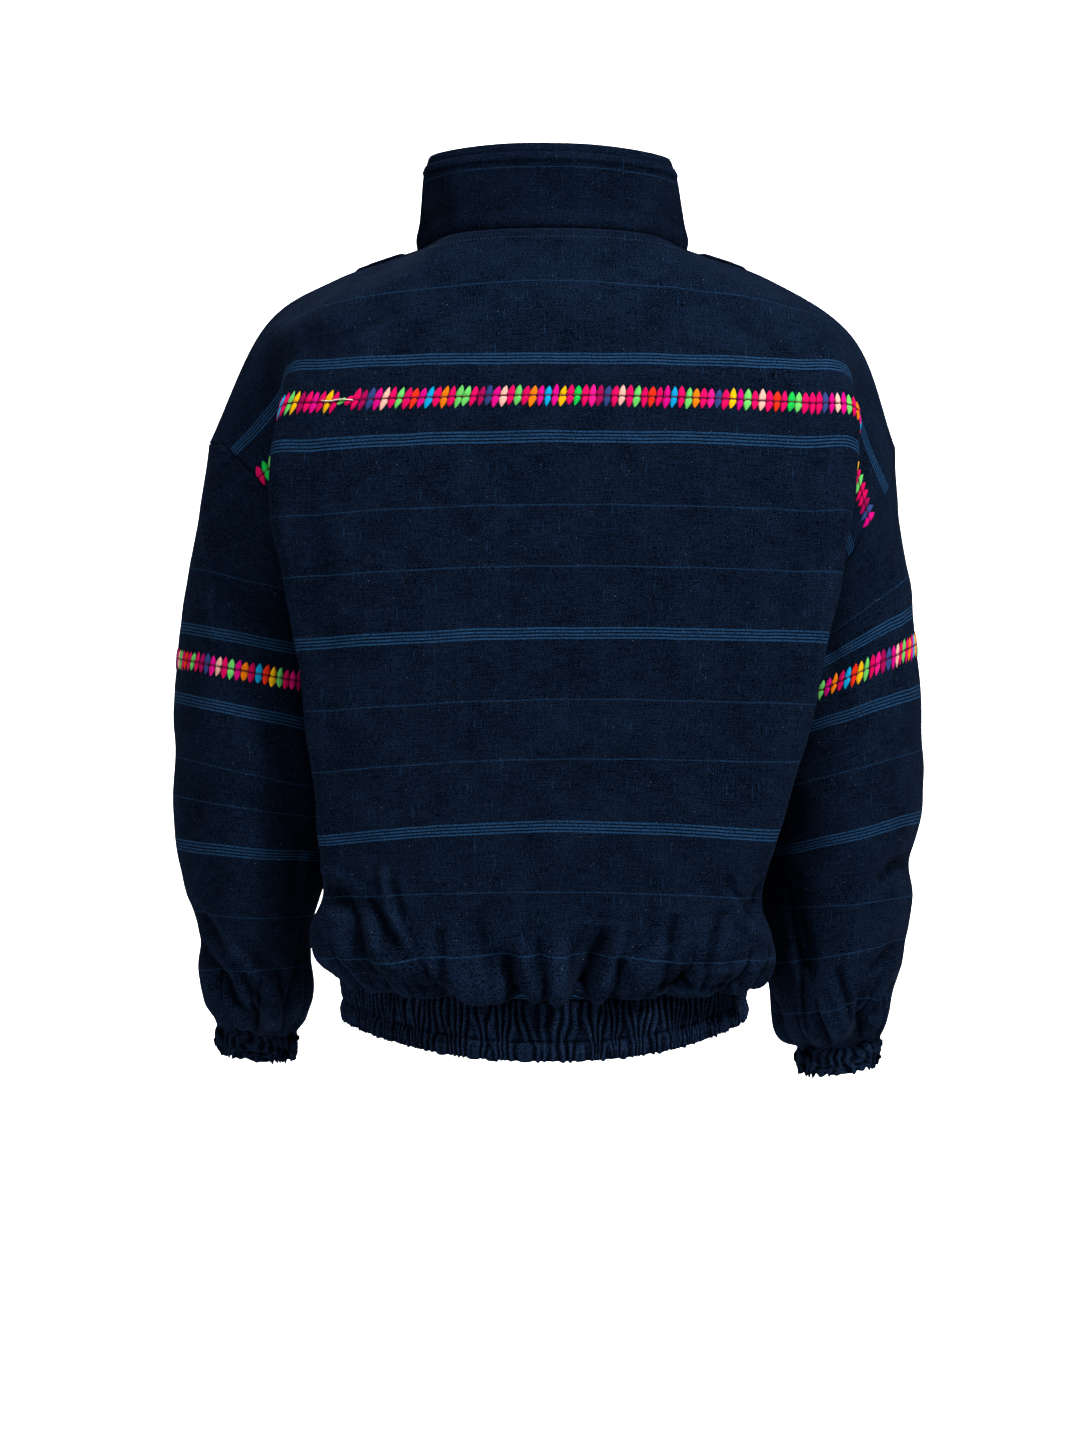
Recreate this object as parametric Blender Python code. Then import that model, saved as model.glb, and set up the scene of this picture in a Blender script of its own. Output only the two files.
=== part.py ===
"""A worn cotton blouson jacket with a stand collar, dropped sleeves and gathered hem and cuffs.

Metres, +Z up. The back faces +Y, the front -Y, and the wearer's left is +X. The origin is between
the wearer's shoulders, at the height of the collar seam, where the shoulders hold the jacket.

Each cloth panel is a grid of points worked out from short tables of its sections, in millimetres.
The outer wall is the grid, the inner wall is the grid moved in by the cloth's thickness, and a rim
joins them. Neighbouring panels share their seam points and part there by a narrow gap.
"""

from collections import namedtuple
from math import pi

import bmesh
import bpy
import numpy as np
from mathutils import Matrix, Vector

MM = 0.001

# Driving dimensions
CLOTH = 2.0 * MM
SEAM_GAP = 0.45 * MM
SLEEVE_GAP_SHARE = 1.0  # of the seam's gap, by which a sleeve's top edge is drawn in
HEM_LIFT = 1.0 * MM  # the panels' straight stretches dip below their curve and end up a seam's gap away
JOINING_SEAM = 165.0  # cloth, in mm below the neck seam, where the two widths of the back join
UNDERARM = 325.0
HEM = 690.0
ZIP_EDGE = 6.5 * MM  # half the opening between the two front edges

# Cloth rows, in mm below the neck seam
UPPER_ROWS = (0, 30, 60, 96, 132, JOINING_SEAM)
LOWER_ROWS = (JOINING_SEAM, 197, 227, 255, 290, UNDERARM, 363, 419, 469, 526, 583, 620, 645, 665, 680, HEM)

# Across a row: centre, two points on the flat of the panel, the edge of the big fold at the side,
# the valley behind it, and the armhole or side seam
STATIONS = (0.0, 0.22, 0.42, 0.60, 0.80, 1.0)
NECK_STATION = STATIONS[2]
COLUMNS_BETWEEN = (3, 3, 3, 4, 3)

Centre = namedtuple("Centre", "row back_y back_z front_y front_z")
CENTRE = (
    Centre(0, 85, 0.5, -66, -50),
    Centre(60, 120, -49, -98, -84),
    Centre(132, 145, -117, -124, -128),
    Centre(165, 150, -149, -134, -155),
    Centre(199, 153, -183, -141, -186),
    Centre(255, 157, -240, -148, -240),
    Centre(307, 158, -291, -152, -290),
    Centre(363, 158, -347, -154, -345),
    Centre(419, 157, -403, -155, -400),
    Centre(469, 155, -453, -155, -450),
    Centre(526, 153, -510, -151, -506),
    Centre(583, 151, -567, -144, -562),
    Centre(620, 151, -603, -137, -597),
    Centre(645, 149, -628, -132, -614),
    Centre(665, 143, -648, -129, -623),
    Centre(680, 135, -658, -127.8, -627.5),
)

# The big fold at each side of the back, the valley between it and the arm, and the seam's edge
Side = namedtuple("Side", "row fold_x fold_y fold_z valley_x valley_y valley_z edge_x edge_y edge_z")
BACK_LEFT = (
    Side(0, 191, 0, -36, 252, -3, -77, 300, 0, -179),
    Side(60, 219, 56, -73, 256, 28, -104, 293, 24, -182),
    Side(132, 221, 98, -121, 236, 60, -148, 276, 47, -190),
    Side(165, 230, 108, -156, 226, 68, -188, 252, 66, -214),
    Side(199, 238, 113, -191, 215, 70, -222, 232, 66, -240),
    Side(255, 238, 116, -249, 200, 64, -262, 207, 46, -270),
    Side(290, 232, 117, -281, 194, 64, -284, 194, 22, -284),
    Side(325, 225, 117, -317, 188, 64, -315, 187, 0, -290),
    Side(363, 217, 117, -354, 182, 62, -350, 176, 0, -340),
    Side(419, 210, 116, -411, 175, 60, -408, 170, 0, -402),
    Side(469, 204, 115, -463, 172, 58, -460, 168, 0, -456),
    Side(526, 198, 114, -521, 172, 60, -517, 168, 0, -510),
    Side(583, 193, 112, -573, 184, 68, -568, 180, 0, -560),
    Side(620, 198, 104, -606, 202, 60, -598, 199, 0, -590),
    Side(645, 194, 100, -629, 203, 56, -619, 201, 0, -610),
    Side(665, 182, 93, -644, 190, 54, -632, 189, 0, -622),
    Side(680, 174, 83, -648, 181, 50, -637, 182, 0, -628),
)
BACK_RIGHT = (
    Side(0, 193, 0, -35, 268, -3, -87, 304, 0, -183),
    Side(60, 238, 58, -76, 276, 28, -112, 299, 24, -203),
    Side(132, 253, 99, -122, 268, 62, -166, 293, 46, -224),
    Side(165, 262, 108, -157, 262, 71, -199, 276, 64, -252),
    Side(199, 261, 113, -189, 251, 73, -238, 258, 66, -282),
    Side(255, 257, 116, -247, 231, 70, -286, 229, 50, -310),
    Side(290, 252, 117, -281, 216, 68, -308, 207, 26, -323),
    Side(325, 245, 117, -316, 203, 66, -336, 190, 0, -333),
    Side(363, 236, 117, -352, 189, 62, -358, 178, 0, -366),
    Side(419, 226, 116, -409, 176, 60, -408, 170, 0, -410),
    Side(469, 213, 115, -458, 170, 58, -460, 167, 0, -458),
    Side(526, 195, 114, -521, 166, 60, -517, 165, 0, -510),
    Side(583, 178, 112, -575, 169, 70, -568, 168, 0, -560),
    Side(620, 180, 104, -610, 181, 62, -600, 179, 0, -592),
    Side(645, 184, 100, -633, 184, 58, -621, 181, 0, -612),
    Side(665, 178, 93, -647, 182, 54, -634, 180, 0, -623),
    Side(680, 170, 83, -650, 176, 50, -638, 175, 0, -628),
)
# The fronts have the same cut, with softer folds. Their edge is the back's, and the valley's x is
# given from it.
FrontSide = namedtuple("FrontSide", "row fold_x fold_y fold_drop valley_in valley_y valley_drop edge_y")
FRONT = (
    FrontSide(0, 191, 0, 0, 0, -3, 0, 0),
    FrontSide(60, 214, -48, 8, 31, -34, 6, -32),
    FrontSide(132, 222, -88, 6, 26, -66, 12, -64),
    FrontSide(165, 224, -101, 6, 12, -80, 14, -82),
    FrontSide(199, 224, -110, 6, 4, -88, 12, -90),
    FrontSide(255, 221, -117, 6, -2, -82, 6, -66),
    FrontSide(290, 217, -120, 6, -6, -76, 4, -34),
    FrontSide(325, 213, -121, 6, -5, -70, 4, 0),
    FrontSide(363, 208, -121, 6, -8, -62, 4, 0),
    FrontSide(419, 203, -120, 6, -8, -58, 4, 0),
    FrontSide(469, 199, -119, 6, -7, -56, 4, 0),
    FrontSide(526, 195, -117, 6, -6, -56, 4, 0),
    FrontSide(583, 190, -115, 4, 0, -58, 2, 0),
    FrontSide(620, 188, -112, 2, 9, -58, 0, 0),
    FrontSide(645, 183, -108, 0, 11, -56, -2, 0),
    FrontSide(665, 173, -99, -2, 8, -53, -2, 0),
    FrontSide(680, 163, -88, -2, 6, -50, -2, 0),
)

# How far each front stands out beside the zip, in mm, at these rows
BULGE_ROWS = (0, 469, 526, 583, 620, 645, 665, 680)
BULGE = (0, 0, 3, 7, 11, 11, 8, 4)

# The two points on the flat of a panel: share of the way out to the fold, and share of its turn
FLAT_POINTS = ((0.50, 0.10), (0.82, 0.40))

# The neckline, in mm: y and z at the centre, then a point between as its share of the way out, y and z
NECK_BACK = ((85, 0.5), (0.68, 65, -2))
NECK_FRONT = ((-66, -50), (0.72, -43, -39))
SHOULDER_SEAM_START = (14, -11)

# Gathers above the waistband: place across the row, half width, depth in mm and how far up they run
Gather = namedtuple("Gather", "place half_width depth reach")
GATHER_CLOSES = 0.8  # of the way down, where the gathers run out above the band
BACK_GATHERS = (
    Gather(-0.74, 0.050, 5.0, 40), Gather(-0.56, 0.045, 7.0, 55), Gather(-0.40, 0.040, 5.0, 45),
    Gather(-0.24, 0.045, 7.0, 60), Gather(-0.07, 0.045, 9.0, 80), Gather(0.10, 0.040, 6.0, 60),
    Gather(0.26, 0.045, 6.0, 50), Gather(0.43, 0.050, 9.0, 105), Gather(0.58, 0.045, 6.0, 50),
    Gather(0.75, 0.050, 5.0, 40),
)
FRONT_GATHERS = (
    Gather(0.16, 0.050, 5.0, 50), Gather(0.33, 0.050, 7.0, 65), Gather(0.50, 0.045, 5.0, 45),
    Gather(0.67, 0.050, 6.0, 55), Gather(0.84, 0.045, 4.0, 40),
)

# Sleeve rings below the armhole: heights of the outer and inner side, their distance from the
# middle of the jacket, and how far the ring reaches to the back and the front
Ring = namedtuple("Ring", "outer_z inner_z outer_x inner_x back_y front_y")
ARM_LEFT = (
    Ring(-212, -299, 309, 195, 67, -88),
    Ring(-250, -308, 313, 198, 67, -92),
    Ring(-288, -318, 319, 197, 68, -95),
    Ring(-341, -366, 326, 190, 72, -98),
    Ring(-368, -395, 329, 187, 74, -100),
    Ring(-402, -431, 331.5, 185, 76, -102),
    Ring(-453, -486, 332, 184, 76, -106),
    Ring(-488, -510, 332.5, 186, 72, -108),
    Ring(-531, -543, 331, 191, 66, -110),
    Ring(-565, -571, 325, 200, 60, -110),
    Ring(-592, -595, 316, 208, 56, -108),
    Ring(-617, -618, 311, 212, 52, -105),
    Ring(-642, -638, 312, 212, 48, -102),
    Ring(-666, -662, 305, 212, 42, -96),
    Ring(-682, -684, 298, 217, 32, -84),
)
ARM_RIGHT = (
    Ring(-222, -350, 307, 203, 67, -88),
    Ring(-258, -364, 312, 205, 67, -92),
    Ring(-295, -376, 317, 202, 68, -95),
    Ring(-326, -394, 320, 197, 72, -98),
    Ring(-355, -417, 323, 191, 74, -100),
    Ring(-396, -440, 326.5, 187, 76, -102),
    Ring(-447, -486, 330, 184, 76, -106),
    Ring(-475, -511, 330, 184, 74, -108),
    Ring(-506, -540, 328, 185, 70, -110),
    Ring(-545, -565, 319, 186, 64, -110),
    Ring(-577, -588, 321, 188, 60, -108),
    Ring(-614, -637, 316, 191, 56, -106),
    Ring(-640, -658, 311.5, 194, 52, -104),
    Ring(-662, -680, 304, 198, 46, -98),
    Ring(-684, -698, 300, 204, 38, -88),
)
ELBOW_RING = 5  # the ring at which the two lengths of the sleeve join, counted from the armhole
ARMHOLE_BLEND = (0.0, 0.5, 0.85)  # how round the first rings are; the armhole's own shape is 0
ARMHOLE_FALL = 9 * MM  # each of the first rings hangs at least this far below the one above
CUFF_PLEATS = 8  # soft folds of the sleeve above its cuff
CUFF_PLEAT_DEPTHS = (1.0, 2.0, 3.0)  # in mm, on the last three rings above the cuff

Cuff = namedtuple("Cuff", "centre_x centre_y half_x half_y outer_z inner_z")
CUFF_LEFT = Cuff(260.5, -34, 34.0, 36, -690, -698)
CUFF_RIGHT = Cuff(256.5, -34, 35.0, 37, -701, -710)
SLEEVE_END_OUT = 1.0 * MM  # how far the sleeve's end stands outside the cuff's ring
CUFF_HEIGHT = 22 * MM
CUFF_WAVES = 26
# Down a gathered band: share from the top, how far it stands out and how deep its grooves are, in mm
Channel = namedtuple("Channel", "share out depth")
CUFF_CHANNELS = (
    Channel(0.0, 0.2, 0.3), Channel(0.35, 1.9, 2.0), Channel(0.70, 1.9, 2.0), Channel(1.0, 0.5, 0.8),
)

# Collar: a ring round the neck, higher behind than in front
COLLAR_CENTRE_Y = 10 * MM
COLLAR_TOP_HALF = (112 * MM, 71 * MM)
COLLAR_WALL = 2.4 * MM
COLLAR_INSET = 0.9 * MM  # from the neckline in to the outer layer
COLLAR_LAYER_GAP = 0.85 * MM
COLLAR_TOP_Z = (67 * MM, 60 * MM, 30 * MM)  # behind, at the sides, in front
COLLAR_LEFT_RISE = 2.5 * MM
INNER_COLLAR_RISE = 8 * MM
INNER_COLLAR_EDGE = 16 * MM
COLLAR_STEPS = 4

# Waistband: two elastic channels with a row of stitching between them
BAND_LEFT_X = 182 * MM
BAND_RIGHT_X = 172 * MM
BAND_BACK_Y = 127 * MM
BAND_FRONT_Y = -127 * MM
BAND_HEIGHT = 52 * MM
BAND_BOTTOM_Z = (-713 * MM, -684 * MM, -682 * MM)  # behind, at the sides, in front
BAND_WAVES = 118
BAND_SQUARENESS = 0.86  # below 1 the ring is fuller at its corners than an ellipse
BAND_WALL = 2.4 * MM
BAND_CHANNELS = (
    Channel(0.0, 0.0, 0.3), Channel(0.30, 2.2, 2.0), Channel(0.66, 0.4, 0.8),
    Channel(0.84, 2.0, 2.0), Channel(1.0, 0.6, 0.8),
)

# Each side's table, where its shoulder seam starts in mm, and how far the waistband reaches
SIDES = {
    "left": (BACK_LEFT, 118, BAND_LEFT_X),
    "right": (BACK_RIGHT, 122, BAND_RIGHT_X),
}

JOINING_HEIGHT = 20 * MM
JOINING_WALL = 1.0 * MM
JOINING_LIFT = 0.45 * MM
TWIST_LIFT = 0.5  # of the panel's twist, by which the strip stands further off
JOINING_REACH = 0.9  # of the way to the next row of the panel, at most

ZIP_INSET = 1.4 * MM  # from the collar's and the waistband's outer face to the zip's line
BAND_ZIP_SHARES = (0.94, 0.5, 0.0)  # heights on the waistband through which that line runs
TAPE_WIDTH = 8 * MM
TAPE_WALL = 0.8 * MM
TAPE_DEPTH = CLOTH + 0.9 * MM  # from the front's outer face to the tape
CHAIN_WIDTH = 5.6 * MM
CHAIN_WALL = 2.2 * MM
CHAIN_DEPTH = 1.0 * MM  # from the front's outer face to the chain
CHAIN_TOP_INSET = 12 * MM
SEAT_GAP = 0.3 * MM

SLIDER_SIZE = Vector((9.0, 3.2, 11.0)) * MM
PULL_SIZE = Vector((8.0, 1.5, 29.0)) * MM
PULL_BAR = 1.5 * MM
PULL_HOLE = (4.0 * MM, 5.0 * MM)  # its width and height, below the bar
SLIDER_EDGE = 0.8 * MM  # how far the slider's edges are cut back
BRIDGE_WIDTH = 2.2 * MM
BRIDGE_BAR = 1.1 * MM
BRIDGE_CLEAR = Vector((0, 2.5, 4.6)) * MM  # the bridge's opening, which holds the pull's top bar

# Colour, roughness and metallic of each finish
FINISHES = {
    "navy_cotton": ((0.0045, 0.0110, 0.0270), 0.92, 0.0),
    "navy_cotton_facing": ((0.0040, 0.0095, 0.0230), 0.92, 0.0),
    "seam_thread": ((0.60, 0.02, 0.12), 0.70, 0.0),
    "zip_tape": ((0.010, 0.012, 0.020), 0.85, 0.0),
    "zip_metal": ((0.45, 0.36, 0.20), 0.35, 1.0),
}


def smooth_through(knots, values, at):
    """A curve through values at knots, with its slopes taken from the neighbours (cubic Hermite)."""
    knots = np.asarray(knots, float)
    values = np.asarray(values, float)
    slopes = np.gradient(values, knots, axis=0)
    at = np.asarray(at, float)
    left = np.clip(np.searchsorted(knots, at, side="right") - 1, 0, len(knots) - 2)
    step = knots[left + 1] - knots[left]
    part = (at - knots[left]) / step
    shape = part.shape + (1,) * (values.ndim - 1)
    part, step = part.reshape(shape), step.reshape(shape)
    return (
        (2 * part**3 - 3 * part**2 + 1) * values[left]
        + (part**3 - 2 * part**2 + part) * step * slopes[left]
        + (3 * part**2 - 2 * part**3) * values[left + 1]
        + (part**3 - part**2) * step * slopes[left + 1]
    )


def unit(vectors):
    return vectors / np.maximum(np.linalg.norm(vectors, axis=-1, keepdims=True), 1e-12)


def across_seam(seam, inside, normals, ring):
    """Unit vectors square to a seam's line and normals, on the side where the points inside lie."""
    if ring:
        line = unit(np.roll(seam, -1, axis=0) - np.roll(seam, 1, axis=0))
    else:
        line = unit(np.gradient(seam, axis=0))
    inward = inside - seam
    across = unit(np.cross(normals, line))
    return across * np.sign((inward * across).sum(axis=1, keepdims=True))


def around(angle, behind, side, front):
    """A value that goes from behind through side to front round a ring; angle 90 degrees is behind."""
    rear = np.clip(np.sin(angle), 0, 1) ** 2
    fore = np.clip(-np.sin(angle), 0, 1) ** 2
    return side + (behind - side) * rear + (front - side) * fore


def band_ring(angle, out=0.0, share=0.0):
    """Points on the waistband's ring, moved out by out, at share of its height from the top.

    The ring is a superellipse, a little fuller at its corners than an ellipse."""
    cosine, sine = np.cos(angle), np.sin(angle)
    half_x = np.where(cosine > 0, BAND_LEFT_X, BAND_RIGHT_X) + out
    x = np.sign(cosine) * np.abs(cosine) ** BAND_SQUARENESS * half_x
    reach = np.where(sine > 0, BAND_BACK_Y, -BAND_FRONT_Y) + out
    y = np.sign(sine) * np.abs(sine) ** BAND_SQUARENESS * reach
    z = around(angle, *BAND_BOTTOM_Z) + BAND_HEIGHT * (1 - share)
    return np.stack([x, y, z], axis=-1)


def back_side(side):
    """The fold, valley and edge of each row of the back, in metres."""
    points = [((row.fold_x, row.fold_y, row.fold_z), (row.valley_x, row.valley_y, row.valley_z),
               (row.edge_x, row.edge_y, row.edge_z)) for row in side]
    return [row.row for row in side], np.array(points, float) * MM


def front_side(side):
    """The front's fold, valley and edge, from its own table and the edge and heights of the back."""
    points = []
    for row, rear in zip(FRONT, side):
        if row.row == 0:
            points.append(((rear.fold_x, row.fold_y, rear.fold_z),
                           (rear.valley_x, row.valley_y, rear.valley_z),
                           (rear.edge_x, row.edge_y, rear.edge_z)))
            continue
        points.append(((row.fold_x, row.fold_y, rear.fold_z + row.fold_drop),
                       (rear.edge_x - row.valley_in, row.valley_y,
                        (rear.valley_z + rear.edge_z) / 2 + row.valley_drop),
                       (rear.edge_x, row.edge_y, rear.edge_z)))
    return [row.row for row in FRONT], np.array(points, float) * MM


def flat_points(rows, centre_y, centre_z, folds, start_x):
    """The centre of each row and the two points on the flat of the panel, between centre and fold."""
    centre_y = smooth_through([c.row for c in CENTRE], [getattr(c, centre_y) for c in CENTRE], rows) * MM
    centre_z = smooth_through([c.row for c in CENTRE], [getattr(c, centre_z) for c in CENTRE], rows) * MM
    centre = np.stack([np.full(len(rows), start_x), centre_y, centre_z], axis=1)
    flats = [centre]
    for across, rounding in FLAT_POINTS:
        x = start_x + (folds[:, 0] - start_x) * across
        y = centre_y + (folds[:, 1] - centre_y) * rounding
        if start_x:
            y = y - np.interp(rows, BULGE_ROWS, BULGE) * MM
        z = centre_z + (folds[:, 2] - centre_z) * across**2
        flats.append(np.stack([x, y, z], axis=1))
    return flats


def neck_points(kind, start_x, neck_x):
    """The neckline's three points in the top row: centre, between, and where the shoulder seam starts."""
    shoulder = (neck_x, *SHOULDER_SEAM_START)
    if kind == "back":
        middle, between = NECK_BACK
    else:
        middle, between = NECK_FRONT
    return np.array([(start_x / MM, *middle), (neck_x * between[0], *between[1:]), shoulder]) * MM


def half_controls(kind, side):
    """Control points of one half of a panel: rows x stations x 3, with x away from the centre."""
    table, neck_x, hem_x = SIDES[side]
    if kind == "back":
        start_x, centre_y, centre_z = 0.0, "back_y", "back_z"
        rows, points = back_side(table)
    else:
        start_x, centre_y, centre_z = ZIP_EDGE, "front_y", "front_z"
        rows, points = front_side(table)
    flats = flat_points(rows, centre_y, centre_z, points[:, 0], start_x)
    controls = np.stack(flats + [points[:, 0], points[:, 1], points[:, 2]], axis=1)
    controls[0, :3] = neck_points(kind, start_x, neck_x)
    hem = hem_points(kind, start_x, hem_x)
    return rows + [HEM], np.concatenate([controls, hem[None]], axis=0)


def hem_points(kind, start_x, hem_x):
    """The last row lies on the waistband's top edge, spread evenly from centre to side seam."""
    share = np.array(STATIONS)
    if kind == "back":
        points = band_ring(pi / 2 * (1 - share))
    else:
        first = np.arcsin(start_x / hem_x)
        points = band_ring(-pi / 2 + first + (pi / 2 - first) * share)
    points[:, 0] *= hem_x / BAND_LEFT_X
    points[0, 0] = start_x
    points[:, 2] += HEM_LIFT
    return points


def station_columns():
    """Places across half a row: each stretch between two stations is divided evenly."""
    places = [0.0]
    for first, last, count in zip(STATIONS, STATIONS[1:], COLUMNS_BETWEEN):
        places += list(np.linspace(first, last, count + 1)[1:])
    return np.array(places)


def gathers_at(gathers, places, rows):
    """How far the gathers push a row in, in metres: soft troughs that fade upwards from the hem."""
    places, rows = np.meshgrid(places, rows)
    push = np.zeros_like(places)
    for gather in gathers:
        across = np.exp(-(((places - gather.place) / gather.half_width) ** 2))
        rise = np.clip((rows - (HEM - gather.reach)) / gather.reach, 0, 1)
        push -= gather.depth * MM * across * np.sin(np.clip(rise / GATHER_CLOSES, 0, 1) * pi)
    return push


def normals_of(points, ring=False):
    """Outward unit vectors of a grid whose rows run down and whose columns run clockwise from above."""
    down = np.gradient(points, axis=0)
    if ring:
        across = np.roll(points, -1, axis=1) - np.roll(points, 1, axis=1)
    else:
        across = np.gradient(points, axis=1)
    return unit(np.cross(across, down))


def panel_grid(controls, rows_known, stations, rows, places):
    """The panel's surface: control rows joined by smooth curves down, then along each row."""
    at_rows = smooth_through(rows_known, controls, rows)
    return np.stack([smooth_through(stations, row, places) for row in at_rows])


def mirrored_start(controls):
    """Control points with the second one repeated on the other side of the first, in x alone."""
    mirror = controls[:, 1].copy()
    mirror[:, 0] = 2 * controls[:, 0, 0] - mirror[:, 0]
    return np.concatenate([mirror[:, None], controls], axis=1)


def back_grid(rows, half_places):
    """The whole back from its right edge to its left edge."""
    known, left = half_controls("back", "left")
    _, right = half_controls("back", "right")
    right = right * np.array([-1, 1, 1])
    controls = np.concatenate([right[:, :0:-1], left], axis=1)
    stations = np.concatenate([-np.array(STATIONS)[:0:-1], STATIONS])
    places = np.concatenate([-half_places[:0:-1], half_places])
    grid = panel_grid(controls, known, stations, rows, places)
    push = gathers_at(BACK_GATHERS, places, rows)
    return grid + normals_of(grid) * push[..., None]


def front_grid(side, rows, half_places):
    """One front, from the zip outwards on the wearer's left, or the other way on the right."""
    sign = 1 if side == "left" else -1
    known, controls = half_controls("front", side)
    stations = (-STATIONS[1],) + STATIONS
    grid = panel_grid(mirrored_start(controls), known, stations, rows, half_places)
    grid = grid * np.array([sign, 1, 1])
    push = gathers_at(FRONT_GATHERS, half_places, rows)
    if sign > 0:
        grid, push = grid[:, ::-1], push[:, ::-1]
    return grid + normals_of(grid) * push[..., None]


class Panel:
    """A grid of outer points with their normals, later made into a wall."""

    def __init__(self, name, points, ring=False, wall=CLOTH):
        self.name = name
        self.points = points
        self.normals = normals_of(points, ring)
        self.ring = ring
        self.wall = wall

    def pull_in(self, edge, share=0.5):
        """Moves one edge of the grid a share of the seam's gap towards the inside of the panel."""
        points = self.points
        own, inner = {
            "top": (np.s_[0], np.s_[1]), "bottom": (np.s_[-1], np.s_[-2]),
            "first": (np.s_[:, 0], np.s_[:, 1]), "last": (np.s_[:, -1], np.s_[:, -2]),
        }[edge]
        ring = self.ring and edge in ("top", "bottom")
        across = across_seam(points[own], points[inner], self.normals[own], ring)
        points[own] += across * SEAM_GAP * share


def agree(*views):
    """Gives the points of a shared seam the mean of their panels' normals."""
    mean = unit(sum(np.array(view) for view in views))
    for view in views:
        view[...] = mean


def material(name):
    colour, roughness, metallic = FINISHES[name]
    made = bpy.data.materials.get(name)
    if made is None:
        made = bpy.data.materials.new(name)
        made.use_nodes = True
        shader = made.node_tree.nodes["Principled BSDF"]
        shader.inputs["Base Color"].default_value = (*colour, 1)
        shader.inputs["Roughness"].default_value = roughness
        shader.inputs["Metallic"].default_value = metallic
    return made


def add_object(name, points, faces, finish, smooth=True):
    mesh = bpy.data.meshes.new(name)
    mesh.from_pydata([tuple(point) for point in points], [], [tuple(face) for face in faces])
    mesh.materials.append(material(finish))
    if smooth:
        mesh.shade_smooth()
    made = bpy.data.objects.new(name, mesh)
    bpy.context.collection.objects.link(made)
    return made


def wall_object(name, outer, inner, finish, ring=False):
    """A closed wall between two grids that have the same columns; their row counts may differ.

    Every cell is cut along the same diagonal, so walls that lie on each other stay parallel."""
    grids = (outer, inner)
    columns = outer.shape[1]
    starts = (0, outer.shape[0] * columns)
    spans = columns if ring else columns - 1
    faces = []
    for grid, start, flip in zip(grids, starts, (False, True)):
        for row in range(grid.shape[0] - 1):
            for column in range(spans):
                after = (column + 1) % columns
                above, below = start + row * columns, start + (row + 1) * columns
                pair = ((above + column, above + after, below + after),
                        (above + column, below + after, below + column))
                faces += [face[::-1] if flip else face for face in pair]
    for column in range(spans):
        after = (column + 1) % columns
        top = (after, column, starts[1] + column, starts[1] + after)
        last_outer = (outer.shape[0] - 1) * columns
        last_inner = starts[1] + (inner.shape[0] - 1) * columns
        bottom = (last_outer + column, last_outer + after, last_inner + after, last_inner + column)
        faces += [top, bottom]
    if not ring:
        for column, flip in ((0, False), (columns - 1, True)):
            outer_edge = [row * columns + column for row in range(outer.shape[0])]
            inner_edge = [starts[1] + row * columns + column for row in range(inner.shape[0])]
            faces += edge_strip(outer_edge, inner_edge, flip)
    points = np.concatenate([grid.reshape(-1, 3) for grid in grids])
    return add_object(name, points, faces, finish)


def edge_strip(outer_edge, inner_edge, flip):
    """Faces that close a side edge: quads where both edges match, else one many-sided face."""
    if len(outer_edge) == len(inner_edge):
        faces = [(outer_edge[i], outer_edge[i + 1], inner_edge[i + 1], inner_edge[i])
                 for i in range(len(outer_edge) - 1)]
    else:
        faces = [tuple(outer_edge) + tuple(inner_edge[::-1])]
    return [face[::-1] for face in faces] if flip else faces


def make_panel(panel, finish):
    inner = panel.points - panel.normals * panel.wall
    return wall_object(panel.name, panel.points, inner, finish, panel.ring)


def sleeve_rings(arm, cuff, sign, back_edge, front_edge):
    """The sleeve's rings from the armhole to the cuff.

    Columns start at the shoulder point and go over the back to the underarm, then up the front.
    The first ring is the armhole itself, and the next ones pass smoothly into rounded sections."""
    armhole = np.concatenate([back_edge, front_edge[-2:0:-1]])
    count = len(back_edge) - 1
    steps = np.linalg.norm(np.diff(back_edge, axis=0), axis=1)
    half = np.concatenate([[0], np.cumsum(steps)]) / steps.sum() * pi
    half = 0.5 * half + 0.5 * np.linspace(0, pi, count + 1)
    angles = np.concatenate([half, 2 * pi - half[-2:0:-1]])
    rings = [armhole]
    for index, ring in enumerate(arm, start=1):
        rounded = ring_points(ring, angles, sign)
        blend = ARMHOLE_BLEND[index] if index < len(ARMHOLE_BLEND) else 1.0
        if blend < 1:
            top, low = armhole[:, 2].max(), armhole[:, 2].min()
            share = ((armhole[:, 2] - top) / (low - top))[:, None]
            fall = np.stack([0 * angles, 0 * angles,
                             (ring.outer_z * MM - top) + 0 * angles], axis=1) * (1 - share)
            fall += np.array([0, 0, ring.inner_z * MM - low]) * share
            rounded = (armhole + fall) * (1 - blend) + rounded * blend
        if index <= ELBOW_RING:
            rounded[:, 2] = np.minimum(rounded[:, 2], rings[-1][:, 2] - ARMHOLE_FALL)
        rings.append(rounded)
    rings.append(cuff_ring(cuff, angles, sign, SLEEVE_END_OUT, 0.0) + np.array([0, 0, SEAM_GAP]))
    rings = np.array(rings)
    centre = rings.mean(axis=1, keepdims=True)
    first = len(rings) - 1 - len(CUFF_PLEAT_DEPTHS)
    for row, depth in enumerate(CUFF_PLEAT_DEPTHS, start=first):
        wave = np.cos(CUFF_PLEATS * angles)[:, None] * depth * MM
        rings[row] += unit((rings[row] - centre[row]) * np.array([1, 1, 0])) * wave
    return rings[:, ::-1] if sign > 0 else rings


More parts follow.
